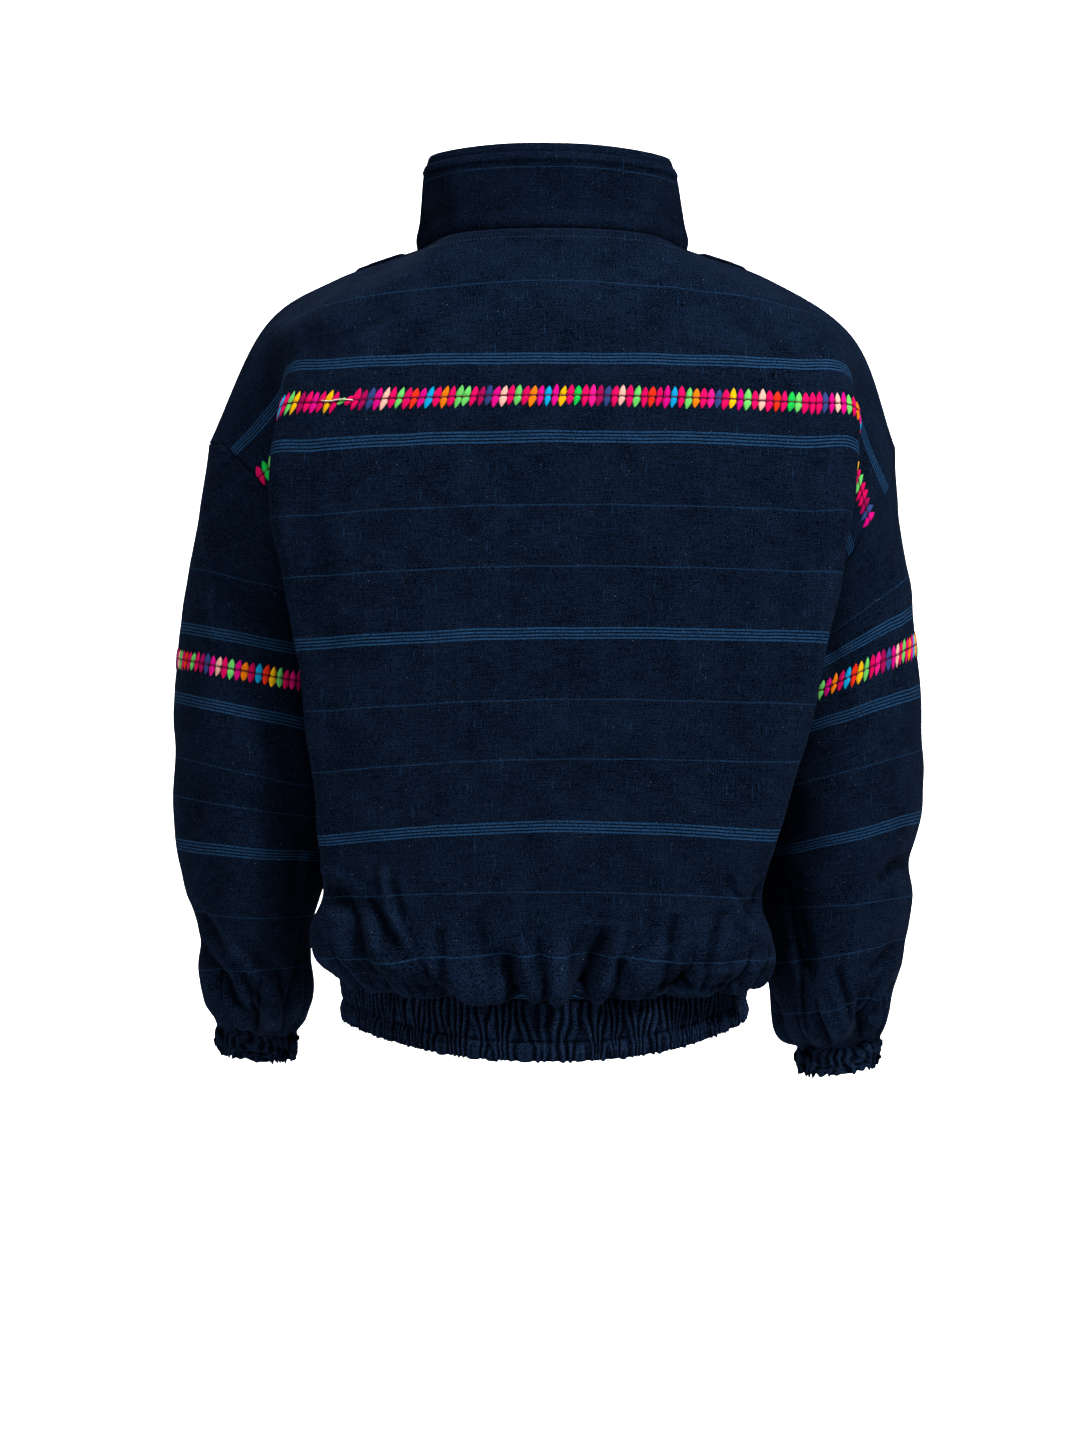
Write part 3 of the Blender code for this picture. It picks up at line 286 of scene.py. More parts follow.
# Waves round a gathered band that make its gathers uneven, as shares of their number
BAND_BEATS = (0.10, 0.18, 0.25, 0.35, 0.17, 0.33, 0.075)
STITCH_PINCH = 0.9  # how far a row of stitching pulls a gathered band in, in mm

# Each side's table, where its shoulder seam starts in mm, and how far the waistband reaches
SIDES = {
    "left": (BACK_LEFT, 118, BAND_LEFT_X),
    "right": (BACK_RIGHT, 122, BAND_RIGHT_X),
}

ZIP_INSET = 1.4 * MM  # from the collar's and the waistband's outer face to the zip's line
BAND_ZIP_SHARES = (0.94, 0.5, 0.0)  # heights on the waistband through which that line runs
TAPE_WALL = 0.8 * MM
TAPE_DEPTH = CLOTH + 0.9 * MM  # from the front's outer face to the tape
TAPE_ROWS = 240
# Across a tape, in mm: distance from the middle of the jacket and how far it stands out
TAPE_SECTION = (
    (0.3, -0.4), (1.0, 0.0), (2.6, 0.3), (3.9, 0.1), (5.4, 0.0), (7.2, 0.0), (9.0, 0.0), (10.8, 0.0),
    (12.9, 0.0),
)
# A tooth's corners, in mm: across the zip, along it and in from the front's face
TOOTH = (
    (-2.1, -0.85, 2.3), (2.1, -0.85, 2.3), (2.1, 0.85, 2.3), (-2.1, 0.85, 2.3),
    (-1.7, -0.55, 1.05), (1.7, -0.55, 1.05), (1.7, 0.55, 1.05), (-1.7, 0.55, 1.05),
)
TOOTH_FACES = ((0, 1, 2, 3), (7, 6, 5, 4), (0, 4, 5, 1), (1, 5, 6, 2), (2, 6, 7, 3), (3, 7, 4, 0))
TOOTH_LEAN = 0.55  # how far a tooth stands to its own side
TOOTH_PITCH = 2.3

# Rows of the cloth, in mm below the neck seam, closer together above the waistband
UPPER_ROWS = np.linspace(0, JOINING_SEAM, 51)
LOWER_ROWS = np.concatenate([
    np.linspace(JOINING_SEAM, UNDERARM, 49), np.linspace(UNDERARM, 560, 66)[1:],
    np.linspace(560, HEM, 58)[1:],
])
RINGS_BETWEEN = 7  # finer rings between two of the sleeve's sections
EDGE_FADE = 9  # grid steps over which creases die away at a panel's side seams
TOP_FADE = 12  # and at its top
BOTTOM_FADE = 3  # and at its lower edge

# Creases, in mm, seen from behind or in front: two ends, half width, height (below 0 a trough)
Crease = namedtuple("Crease", "x1 z1 x2 z2 width height")
BACK_CREASES = table(
    Crease,
    (-4, -4, -4, -40, 2.2, -1.1), (169, -62, 123, -46, 6, 1.4), (212, -91, 161, -59, 7, 1.8),
    (204, -104, 136, -74, 9, -1.8), (219, -78, 216, -104, 4, 1.2), (-166, -60, -126, -46, 6, 1.2),
    (-214, -92, -164, -58, 7, 1.6), (-204, -106, -140, -76, 9, -1.6), (141, -548, 138, -580, 4.6, 4.2),
    (138, -580, 112, -620, 4.6, 4.8), (156, -566, 128, -616, 7.4, -6.3), (34, -622, 20, -668, 7.5, -10),
    (-45, -606, -24, -660, 6.4, -9.1), (-58, -612, -78, -636, 6.4, 4.9),
    (-110, -626, -120, -656, 5.5, -5.6), (-150, -570, -182, -612, 9.2, 4.9),
    (80, -640, 96, -668, 4.6, -4.9), (52, -650, 60, -674, 4.6, -4.2), (133, -560, 115, -615, 4.6, -4.5),
    (152, -566, 119, -612, 4.1, 2.8), (-45, -600, -18, -662, 6.4, -7), (-62, -596, -40, -655, 5.5, 4.2),
    (60, -585, 48, -650, 6.4, -4.9), (10, -610, 6, -655, 5.5, -4.2), (-104, -590, -96, -650, 6.4, -5.3),
    (-142, -585, -128, -640, 6.4, -4.2), (178, -560, 150, -628, 5.5, -3.6),
    (92, -600, 88, -650, 4.6, -3.9), (-10, -330, -14, -560, 26, -1.6), (96, -300, 84, -540, 30, 1.6),
    (-98, -300, -88, -540, 30, 1.6), (208, -200, 176, -520, 14, -2), (-226, -190, -170, -510, 15, -2.2),
    (150, -150, 160, -420, 24, 1.4), (-160, -150, -140, -420, 24, 1.2), (120, -60, 205, -120, 14, -1.8),
    (-122, -62, -215, -118, 14, -1.8), (150, -38, 232, -92, 10, 1.4), (-150, -38, -238, -96, 10, 1.4),
    (228, -230, 214, -420, 7, 2), (176, -598, 141, -634, 8, -4.5), (160, -592, 126, -642, 6, 3.2),
    (-84, -633, -168, -630, 6, 3.6), (-96, -646, -164, -644, 4, -3.4), (196, -562, 168, -582, 9, -8.0),
    (200, -546, 150, -572, 7, 3.5), (-192, -558, -164, -590, 9, -8.0), (-246, -230, -224, -430, 7, 2),
    (-150, -556, -176, -600, 5.5, -3.4),
)
FRONT_CREASES = table(
    Crease,
    (60, -300, 52, -560, 24, -1.6), (-62, -300, -54, -560, 24, -1.6), (130, -260, 110, -560, 22, 1.6),
    (-128, -260, -112, -560, 22, 1.5), (196, -190, 150, -420, 12, -2.2),
    (-200, -190, -152, -430, 12, -2.2), (110, -70, 190, -150, 12, -1.6),
    (-112, -72, -192, -150, 12, -1.6), (40, -570, 46, -620, 6, -2.8), (96, -565, 90, -620, 7, -3.2),
    (146, -560, 134, -618, 6, -2.8), (-52, -568, -48, -618, 7, -3.0), (-104, -566, -98, -620, 6, -3.0),
    (-150, -560, -140, -616, 6, -2.6),
)
# The sleeves' creases: the ridge behind the arm, the breaks at its outer side, and the folds that run
# down into the cuff
SLEEVE_CREASES = table(
    Crease,
    (304, -232, 296, -300, 5, 2.4), (296, -300, 291, -352, 4.5, 2), (318, -586, 280, -622, 7, -8.7),
    (312, -618, 253, -686, 6.5, -8.7), (306, -640, 262, -692, 5, 6.5), (277, -656, 246, -681, 6, 6.1),
    (296, -600, 240, -660, 7, 5.8), (236, -640, 226, -692, 5, -5.8), (214, -520, 228, -600, 6, -3),
    (206, -540, 231, -694, 2.6, -1.8), (228, -430, 222, -520, 12, -2.2), (300, -470, 318, -560, 11, -2),
    (262, -420, 266, -560, 18, 1.6), (210, -300, 224, -356, 8, -2.2), (-310, -297, -300, -353, 5, 2.4),
    (-300, -353, -289, -400, 4.5, 2.2), (-318, -545, -286, -560, 7, -9.1),
    (-310, -612, -280, -640, 7, -6.5), (-206, -560, -228, -640, 7, -4.8),
    (-204, -560, -226, -700, 2.6, -2.6), (-216, -430, -206, -520, 12, -2.2),
    (-262, -440, -262, -600, 18, 1.6), (-300, -640, -268, -690, 6, 5.2), (-222, -640, -246, -690, 6, 7.2),
    (-300, -655, -262, -700, 5, -6.5), (-250, -640, -268, -696, 5, -6.5),
    (-212, -620, -236, -668, 6, -6.5), (-236, -330, -250, -400, 9, -2.4),
    (-292, -440, -306, -520, 10, -2),
)
# Slow swells over all the cloth: wavelengths in mm along x, y and z, then height in mm
Swell = namedtuple("Swell", "x y z phase height")
SWELLS = table(
    Swell,
    (210, 160, 95, 0.4, 0.55), (130, 230, -150, 2.1, 0.45), (-86, 120, 75, 4.0, 0.30),
    (64, -90, 52, 1.2, 0.22), (41, 70, -37, 5.1, 0.12),
)
# Lobes in which the cloth hangs over the seam of the waistband: the middle of each and half its width,
# in mm along the seam from the centre back or the zip, how far it drops and stands out, and how far it
# leans aside at its top
Lobe = namedtuple("Lobe", "middle half_width drop out lean")
BACK_LOBES = table(
    Lobe,
    (-196, 17, 4, 4, -10), (-168, 15, 6, 4, -16), (-128, 27, 5, 4, -22), (-74, 29, 6, 4, -20),
    (-36, 12, 7, 2, -12), (-10, 13, 9, 2, 6), (14, 12, 8, 2, 10), (55, 31, 8, 4, 24), (110, 28, 7, 4, 26),
    (153, 17, 5, 3, 12), (188, 18, 4, 3, 6), (232, 22, 4, 3, 0), (-238, 24, 4, 3, 0),
)
FRONT_LOBES = table(
    Lobe,
    (22, 13, 6, 2, 6), (58, 23, 7, 4, 12), (104, 25, 6, 3, -10), (146, 18, 5, 3, 8), (184, 20, 5, 3, -6),
    (226, 21, 4, 2, 0),
)
SLEEVE_LOBES = table(
    Lobe,
    (20, 15, 3, 2, 6), (48, 13, 4, 2, -8), (78, 17, 3, 3, 10), (108, 12, 4, 2, 6), (136, 16, 3, 2, -9),
    (168, 15, 4, 3, 8), (198, 14, 3, 2, 4), (228, 16, 4, 2, -8), (258, 13, 3, 3, 6), (288, 17, 4, 2, 8),
    (320, 14, 3, 2, -6), (350, 15, 4, 2, 5),
)
# The fold in which the back and the fronts blouse over the waistband: the row of the cloth along its
# lip and how far it stands out, by distance along the seam from the centre back or the zip, in mm
LipPoint = namedtuple("LipPoint", "along row out")
BACK_LIP = table(
    LipPoint,
    (-260, 612, 2.5), (-192, 616, 2.5), (-150, 630, 5), (-112, 640, 9), (-78, 652, 11), (-44, 664, 11),
    (-20, 655, 11), (2, 668, 11), (24, 656, 11), (44, 668, 11), (96, 654, 11), (140, 638, 9),
    (176, 634, 5), (260, 628, 1.5),
)
FRONT_LIP = table(
    LipPoint,
    (0, 668, 11), (40, 655, 11), (84, 664, 11), (128, 648, 9), (180, 640, 5), (260, 612, 2.5),
)
LIP_DROP = 0.55  # how far it hangs, as a share of how far it stands out
LIP_TURN = 11.0  # over how many mm of cloth it turns back under itself
LIP_RISE = 75.0  # over how many mm above the lip it swells
LIP_ROUND = 12.0  # over how many mm of cloth, each way, the lip is drawn down
# How far each side of the body swells towards the sleeve above the waistband, and where
SIDE_SWELL = {"left": 0.5, "right": 5.0}
SIDE_SWELL_ROW = 622
SIDE_SWELL_REACH = 24
SIDE_SWELL_FROM = (120, 50)  # mm from the middle where it starts, and over how many mm it grows
SHOULDER_CLEAR = 0.4 * MM  # how far the fronts stay below the line of the shoulder seam
SLEEVE_FRONT_CREASES = 7  # the first of the sleeve's creases that shows in front too
SLEEVE_FRONT_SHARE = 0.8  # and how deep it is there
CUFF_PLEAT_SHARE = 0.6  # how deep the pleats above a cuff are, next to those of the body
ALONG_CUFF = 25  # how far above the sleeve's end the distances round it are measured, in mm
SLEEVE_END_REACH = 30  # over how many mm the sleeve's end sags and hangs over its cuff
TUCK = 8.5  # how far the cloth is drawn in between two lobes
LOBE_REACH = 70  # mm of cloth above the seam that a lobe takes part in
# Powers in its half waves: how it is rounded across and narrowed down, then how low it hangs most,
# swells most and is tucked most
LOBE_ROUNDING = 0.8
LOBE_NARROWING = 1.3
HANG_LOW = 1.6
SWELL_LOW = 1.1
TUCK_LOW = 1.3
ALONG_SEAM = 30  # how far above the hem the distances along its seam are measured, in mm
PLEATS_START = 0.04  # places across a panel between which the small pleats lie
PLEATS_END = 0.98
FINE_PLEATS = 62  # small pleats where the body is drawn into the waistband, on the back
FRONT_PLEATS = 28
CUFF_FINE_PLEATS = 17
GOLDEN = 0.6180339887
# How far the weft lines drift up the back from its rows, in mm, at places from its right edge, -1, to its
# left, 1, and between which rows
LINE_DRIFT_AT = (-1, -0.5, 0, 0.5, 1)
LINE_DRIFT = (20, -1, -2.5, -5, 17)
LINE_DRIFT_ROWS = (150, 340, 530, 600)
CUFF_SAG = 6.0  # how much lower a cuff hangs behind the wrist than at its sides, in mm
CUFF_SAG_SHARES = (0.7, 1.3)  # of that, at its top and bottom
SLEEVE_SAG_SHARE = 0.8  # and at the sleeve's end
SLEEVE_UNEVEN = ((0.6, 11), (0.4, 5.3))  # sines that vary the overhang round it: shares and mm a radian
SLEEVE_OVERHANG = 3.0  # how far the sleeve's end hangs over its cuff, in mm
EDGE_SCALLOP = 2.2  # how far the gathers hang past each other along a band's lower edge, in mm

# Weft lines of the cloth, in mm below the neck seam: groups of four, and single ones
LINE_PITCH = 2.8
BODY_BANDS = (132, 199, 363, 526, 690)
BODY_SINGLES = (60, 255, 307, 419, 469, 583, 637)
# On the sleeves, by the number of the section that they follow
SLEEVE_BANDS = {"left": (4, 6, 9), "right": (4, 6, 9)}
SLEEVE_SINGLES = {"left": (3, 7, 8, 11, 13), "right": (3, 7, 11, 12, 14)}
COLLAR_SINGLE = 15  # mm below the outer collar's edge
LINE_WAVER = 0.0022  # how far the lines wander, in metres
BAND_LINE_EDGE = (0.00045, 0.00105)  # over which a line of a band fades, in metres from its middle
BAND_LINE_STRENGTH = 0.85
BAND_EDGE = (0.0050, 0.0062)  # over which the darker ground of a band fades
BAND_SHADE = 0.35
SINGLE_LINE_EDGE = (0.00022, 0.00075)
SINGLE_LINE_STRENGTH = 0.38

# Noise in the weave: waves a metre across and down the cloth, detail, a slice of the noise of its own,
# and the range that is stretched from 0 to 1
Yarn = namedtuple("Yarn", "across down detail slice range")
WEAVE = {
    "waver": Yarn(22, 9, 1, 0, None),
    "grain": Yarn(760, 820, 2, 1, (0.34, 0.68)),
    "warp": Yarn(1100, 150, 0, 0, None),
    "weft": Yarn(50, 1200, 0, 0, None),
    "wide_warp": Yarn(230, 4, 0, 0, None),
    "fibres": Yarn(330, 330, 0, 4, None),
    "slubs": Yarn(700, 60, 0, 3, (0.74, 0.82)),
    "lint": Yarn(800, 700, 0, 7, (0.84, 0.88)),
    "worn": Yarn(28, 24, 2, 5, None),
    "broken": Yarn(850, 300, 0, 2, (0.28, 0.50)),
    "faded": Yarn(60, 240, 1, 9, None),
}
FIBRE_WIDTH = 0.018  # of the noise's range, on each side of a fibre's middle
LINT_COLOUR = (0.20, 0.22, 0.25, 1)
LINT_STRENGTH = 0.5
SLUB_STRENGTH = 0.22
# The cloth's tone without noise, and what each kind of noise adds to it
EVEN_TONE = 0.18
TONE = {"grain": 1.02, "warp": 0.8, "weft": 0.8, "fibres": 0.36, "wide_warp": 0.22, "worn": 0.7}
# The relief of the weave: what the threads add, its strength and its depth in metres
RELIEF = {"grain": 0.9, "warp": 1.3, "weft": 1.1}
RELIEF_STRENGTH = 0.6
RELIEF_DEPTH = 0.00030
LEAST_ROUGHNESS = 0.84
WARP_ROUGHNESS = 0.12
SHEEN_TINT = (0.35, 0.5, 0.85, 1)

# Thread colours of the embroidered seams, and their order
THREADS = {
    "c": (0.74, 0.002, 0.110), "m": (0.72, 0.002, 0.230), "d": (0.36, 0.002, 0.085),
    "n": (0.030, 0.055, 0.200), "p": (0.90, 0.470, 0.380), "g": (0.150, 0.640, 0.130),
    "e": (0.010, 0.560, 0.070), "o": (0.92, 0.210, 0.004), "y": (0.96, 0.500, 0.004),
    "b": (0.004, 0.360, 0.720), "r": (0.88, 0.030, 0.008), "h": (0.90, 0.008, 0.250),
}
# From the left of the back to its right, then what goes on round the fold to the sleeve
BACK_ORDER = (
    "ycgccdnmpcgcrmbcocggcdnmpcgcombmycechdncpcgcrcmbcgochncymgcpcrcegcccnmpmgcombcgydcmc"
)
SLEEVE_ORDER = "cdnmpcgmocbrygchdnmpcgcombycegcrcmnpcgcombcyhdncpgcrcg"
BACK_FIRST = 91  # the thread at the right end of the back's seam
SLEEVE_FIRST = {"left": 14, "right": 30}
CENTRE_THREAD = (0.10, 0.006, 0.035)
CREAM_THREAD = (0.80, 0.70, 0.58)
MOTIF_PITCH = 6.25  # in mm along the seam
MOTIF_HALF_WIDTH = 3.25
MOTIF_LEAN = 2.0
MOTIF_HEIGHT = 1.15
MOTIF_SEED = 11
LEAF_STEPS = 6
WORN_AT = 168  # where the band on the back is worn, in mm from the centre
WORN_REACH = (0.42, 0.36)  # what is left of the two motifs there
# The loose thread there: column from its start, then mm off the cloth and mm up
LOOSE_THREAD = ((0, 1.2, 0.0), (3, 2.2, 1.2), (6, 2.0, 0.4), (9, 1.2, 1.6))
LOOSE_THREAD_RADIUS = 0.5
CORD_SIDES = 6
# The dark thread along the middle of a seam, in mm
CENTRE_THREAD_STEP = 1.2
CENTRE_THREAD_LIFT = 0.95
CENTRE_THREAD_RADIUS = 0.42

TONE_SHIFT_BEND = 160  # bend, in 1/m, at which the painted tone is half way: a ridge half rubbed pale and painted lighter as highlight, a groove half painted darker as shade

# Stage, in metres: a floor that curves up into a wall, the camera and the lights
FLOOR_Z = -1.35
FLOOR_NEAR = 9.0
FLOOR_FAR = -3.2
FLOOR_CURVE = 1.2
FLOOR_HALF_WIDTH = 7.0
WALL_HEIGHT = 6.5
FLOOR_COLOUR = (0.82, 0.82, 0.82, 1)
CAMERA_PLACE = (0.00616, 3.54, -0.426)
CAMERA_LENS = 100
CAMERA_SENSOR = 36
WORLD_STRENGTH = 0.09
Light = namedtuple("Light", "name place aim size power spread")
LIGHTS = table(
    Light,
    ("key", (-2.1, 2.3, 2.3), (0, 0, -0.4), 1.0, 21, 50),
    ("fill", (2.7, 3.2, -0.1), (0, 0, -0.5), 1.6, 6, 50),
    ("top", (0.3, 1.0, 2.9), (0, 0, -0.3), 1.4, 5, 50),
    ("front", (0.4, -2.4, 1.2), (0, 0, -0.4), 1.6, 8, 50),
    ("backdrop", (0.0, -2.5, 2.7), (0, -4.4, -0.8), 3.0, 420, 120),
)

STITCH_PITCH = 3.2
STITCH_LENGTH = 2.3
STITCH_RADIUS = 0.28
STITCH_RISE = 0.15  # how far a stitch's middle stands off the cloth, and how far its ends dip from that
STITCH_DIP = 0.35
STITCH_SIDES = 5
NECK_STITCHES = 9  # mm of cloth below the neck seam


def smooth_through(knots, values, at):
    """A curve through values at knots, with its slopes taken from the neighbours (cubic Hermite)."""
    knots = np.asarray(knots, float)
    values = np.asarray(values, float)
    slopes = np.gradient(values, knots, axis=0)
    at = np.asarray(at, float)
    left = np.clip(np.searchsorted(knots, at, side="right") - 1, 0, len(knots) - 2)
    step = knots[left + 1] - knots[left]
    part = (at - knots[left]) / step
    shape = part.shape + (1,) * (values.ndim - 1)
    part, step = part.reshape(shape), step.reshape(shape)
    return (
        (2 * part**3 - 3 * part**2 + 1) * values[left]
        + (part**3 - 2 * part**2 + part) * step * slopes[left]
        + (3 * part**2 - 2 * part**3) * values[left + 1]
        + (part**3 - part**2) * step * slopes[left + 1]
    )


def unit(vectors):
    """Vectors divided by their lengths."""
    return vectors / np.maximum(np.linalg.norm(vectors, axis=-1, keepdims=True), 1e-12)


def across_seam(seam, inside, normals, ring):
    """Unit vectors square to a seam's line and normals, on the side where the points inside lie."""
    if ring:
        line = unit(np.roll(seam, -1, axis=0) - np.roll(seam, 1, axis=0))
    else:
        line = unit(np.gradient(seam, axis=0))
    inward = inside - seam
    across = unit(np.cross(normals, line))
    return across * np.sign((inward * across).sum(axis=1, keepdims=True))


def around(angle, behind, side, front):
    """A value that goes from behind through side to front round a ring; angle 90 degrees is behind."""
    rear = np.clip(np.sin(angle), 0, 1) ** 2
    fore = np.clip(-np.sin(angle), 0, 1) ** 2
    return side + (behind - side) * rear + (front - side) * fore


def band_ring(angle, out=0.0, share=0.0):
    """Points on the waistband's ring, moved out by out, at share of its height from the top.

    The ring is a superellipse, a little fuller at its corners than an ellipse."""
    cosine, sine = np.cos(angle), np.sin(angle)
    half_x = np.where(cosine > 0, BAND_LEFT_X, BAND_RIGHT_X) + out
    x = np.sign(cosine) * np.abs(cosine) ** BAND_SQUARENESS * half_x
    reach = np.where(sine > 0, BAND_BACK_Y, -BAND_FRONT_Y) + out
    y = np.sign(sine) * np.abs(sine) ** BAND_SQUARENESS * reach
    z = around(angle, *BAND_BOTTOM_Z) + BAND_HEIGHT * (1 - share)
    return np.stack([x, y, z], axis=-1)


def back_side(side):
    """The fold, valley and edge of each row of the back, in metres: the table's own numbers."""
    return np.array(side, float)[:, 1:].reshape(-1, 3, 3) * MM


def front_side(side):
    """The front's fold, valley and edge, from its own table and the edge and heights of the back."""
    points = np.array(side, float)[:, 1:].reshape(-1, 3, 3)
    _, fold_x, fold_y, fold_drop, valley_in, valley_y, valley_drop, edge_y = np.array(FRONT, float).T
    points[:, :, 1] = np.stack([fold_y, valley_y, edge_y], axis=1)
    below = points[1:]  # the top row, on the shoulder, keeps the back's own places
    below[:, 0, 0] = fold_x[1:]
    below[:, 0, 2] += fold_drop[1:]
    below[:, 1, 0] = below[:, 2, 0] - valley_in[1:]
    below[:, 1, 2] = (below[:, 1, 2] + below[:, 2, 2]) / 2 + valley_drop[1:]
    return points * MM


def flat_points(rows, centre, folds, start_x):
    """The centre of each row and the two points on the flat of the panel, between centre and fold.

    x and y go a given share of the way out and round, and z as the square of the way out."""
    ahead = np.interp(rows, BULGE_ROWS, BULGE) * MM if start_x else 0.0
    flats = [np.column_stack([np.full(len(rows), start_x), centre])]
    for across, rounding in FLAT_POINTS:
        x = start_x + (folds[:, 0] - start_x) * across
        y = centre[:, 0] + (folds[:, 1] - centre[:, 0]) * rounding - ahead
        z = centre[:, 1] + (folds[:, 2] - centre[:, 1]) * across**2
        flats.append(np.stack([x, y, z], axis=1))
    return np.stack(flats, axis=1)


def neck_points(kind, start_x, neck_x):
    """The neckline's three points in the top row: centre, between, and where the shoulder seam starts."""
    middle, between = NECK_BACK if kind == "back" else NECK_FRONT
    return np.array([(start_x / MM, *middle), (neck_x * between[0], *between[1:]),
                     (neck_x, *SHOULDER_SEAM_START)]) * MM


def half_controls(kind, side):
    """Control points of one half of a panel: rows x stations x 3, with x away from the centre."""
    cut, neck_x, hem_x = SIDES[side]
    rows = [row.row for row in cut]
    centre = np.array(CENTRE, float)
    if kind == "back":
        start_x, middle, points = 0.0, centre[:, 1:3], back_side(cut)
    else:
        start_x, middle, points = ZIP_EDGE, centre[:, 3:5], front_side(cut)
    middle = smooth_through(centre[:, 0], middle, rows) * MM
    controls = np.concatenate([flat_points(rows, middle, points[:, 0], start_x), points], axis=1)
    controls[0, :3] = neck_points(kind, start_x, neck_x)
    hem = hem_points(kind, start_x, hem_x)
    return rows + [HEM], np.concatenate([controls, hem[None]], axis=0)


def hem_points(kind, start_x, hem_x):
    """The last row lies on the waistband's top edge, spread evenly from centre to side seam."""
    share = np.array(STATIONS)
    if kind == "back":
        points = band_ring(pi / 2 * (1 - share))
    else:
        first = np.arcsin(start_x / hem_x)
        points = band_ring(-pi / 2 + first + (pi / 2 - first) * share)
    points[:, 0] *= hem_x / BAND_LEFT_X
    points[0, 0] = start_x
    points[:, 2] += HEM_LIFT
    return points


def normals_of(points, ring=False):
    """Outward unit vectors of a grid whose rows run down and whose columns run clockwise from above."""
    down = np.gradient(points, axis=0)
    if ring:
        across = np.roll(points, -1, axis=1) - np.roll(points, 1, axis=1)
    else:
        across = np.gradient(points, axis=1)
    return unit(np.cross(across, down))


def mirrored_start(controls):
    """Control points with the second one repeated on the other side of the first, in x alone."""
    mirror = controls[:, 1].copy()
    mirror[:, 0] = 2 * controls[:, 0, 0] - mirror[:, 0]
    return np.concatenate([mirror[:, None], controls], axis=1)


class Panel:
    """A grid of outer points with their normals, later made into a wall."""

    def __init__(self, points, ring=False, normals=None):
        self.points = points
        self.normals = normals_of(points, ring) if normals is None else normals
        self.ring = ring

    def pull_in(self, **shares):
        """Moves edges of the grid a share of the seam's gap towards the inside of the panel."""
        points = self.points
        for edge, share in shares.items():
            own, inner = {
                "top": (np.s_[0], np.s_[1]), "bottom": (np.s_[-1], np.s_[-2]),
                "first": (np.s_[:, 0], np.s_[:, 1]), "last": (np.s_[:, -1], np.s_[:, -2]),
            }[edge]
            ring = self.ring and edge in ("top", "bottom")
            across = across_seam(points[own], points[inner], self.normals[own], ring)
            points[own] += across * SEAM_GAP * share

    def length(self, low, high, **shares):
        """The points of its rows from low to high, with the edges of that length pulled in."""
        part = Panel(self.points[low : high + 1].copy(), self.ring, self.normals[low : high + 1])
        part.pull_in(**shares)
        return part.points


def agree(*views):
    """Gives the points of a shared seam the mean of their panels' normals."""
    mean = unit(sum(np.array(view) for view in views))
    for view in views:
        view[...] = mean


def ring_points(ring, angles, sign):
    """A rounded section: outer side at angle 0, the back at 90 degrees, the inner side at 180."""
    half_x, middle_x = (ring.outer_x - ring.inner_x) / 2, (ring.outer_x + ring.inner_x) / 2
    half_y, middle_y = (ring.back_y - ring.front_y) / 2, (ring.back_y + ring.front_y) / 2
    x = middle_x + half_x * np.cos(angles)
    y = middle_y + half_y * np.sin(angles)
    z = ring.outer_z + (ring.inner_z - ring.outer_z) * (1 - np.cos(angles)) / 2
    return np.stack([sign * x, y, z], axis=1) * MM


def hung(grid, normals, push, rows, along, lip, lobes):
    """A panel of the body as it hangs: bloused, lobed and pushed out by its creases, but for its edges."""
    fade = edge_fade(push.shape)
    grid = bloused(grid, normals, along, rows, lip, fade)
    grid = lobed(grid, normals, along, rows, lobes, fade)
    return side_swell(grid + normals * (push * fade)[..., None], rows)


def cuff_ring(cuff, angles, sign, out, down):
    """Points round a cuff, moved out by out and down by down, both in metres."""
    x = sign * (cuff.centre_x * MM + (cuff.half_x * MM + out) * np.cos(angles))
    y = cuff.centre_y * MM + (cuff.half_y * MM + out) * np.sin(angles)
    share = (1 - np.cos(angles)) / 2
    z = (cuff.outer_z + (cuff.inner_z - cuff.outer_z) * share) * MM - down
    return np.stack([x, y, z], axis=1)


def collar_lines(neckline, inset, trim):
    """The collar's base and top points, moved in by inset, cut off at trim from the middle."""
    middle = np.array([0, COLLAR_CENTRE_Y])
    spoke = unit(neckline[:, :2] - middle)
    half_x, half_y = COLLAR_TOP_HALF
    angle = np.arctan2((neckline[:, 1] - middle[1]) / half_y, neckline[:, 0] / half_x)
    top = np.stack([half_x * np.cos(angle), middle[1] + half_y * np.sin(angle),
                    around(angle, *COLLAR_TOP_Z)], axis=1)
    top[:, 2] += np.clip(top[:, 0] / half_x, 0, 1) * COLLAR_LEFT_RISE
    top[[0, -1], 0] = neckline[[0, -1], 0]
    lines = np.stack([top, neckline], axis=1)
    lines[:, :, :2] -= spoke[:, None] * inset
    lines[[0, -1], :, 0] = neckline[[0, -1], None, 0]
    if trim > ZIP_EDGE:
        reach = np.abs(neckline[:, 0])
        lines = np.concatenate([cut_end(lines, reach, trim), lines[(reach > trim)],
                                cut_end(lines[::-1], reach[::-1], trim)])
    return lines


def cut_end(lines, reach, trim):
    """The line between the first columns whose distance from the middle is trim."""
    after = int(np.argmax(reach > trim))
    part = (trim - reach[after - 1]) / (reach[after] - reach[after - 1])
    return (lines[after - 1] * (1 - part) + lines[after] * part)[None]


def zip_path(front):
    """The line of the zip from the collar's top to the hem, on the outer face of the cloth, as y, z."""
    line = [(COLLAR_CENTRE_Y - COLLAR_TOP_HALF[1] + ZIP_INSET, COLLAR_TOP_Z[2]),
            (front[0, 1] + ZIP_INSET, front[0, 2] - 1 * MM)]
    line += [(point[1], point[2]) for point in front[1:-1]]
    bottom = BAND_BOTTOM_Z[2]
    line += [(BAND_FRONT_Y + ZIP_INSET, bottom + share * BAND_HEIGHT) for share in BAND_ZIP_SHARES]
    return np.array(line)


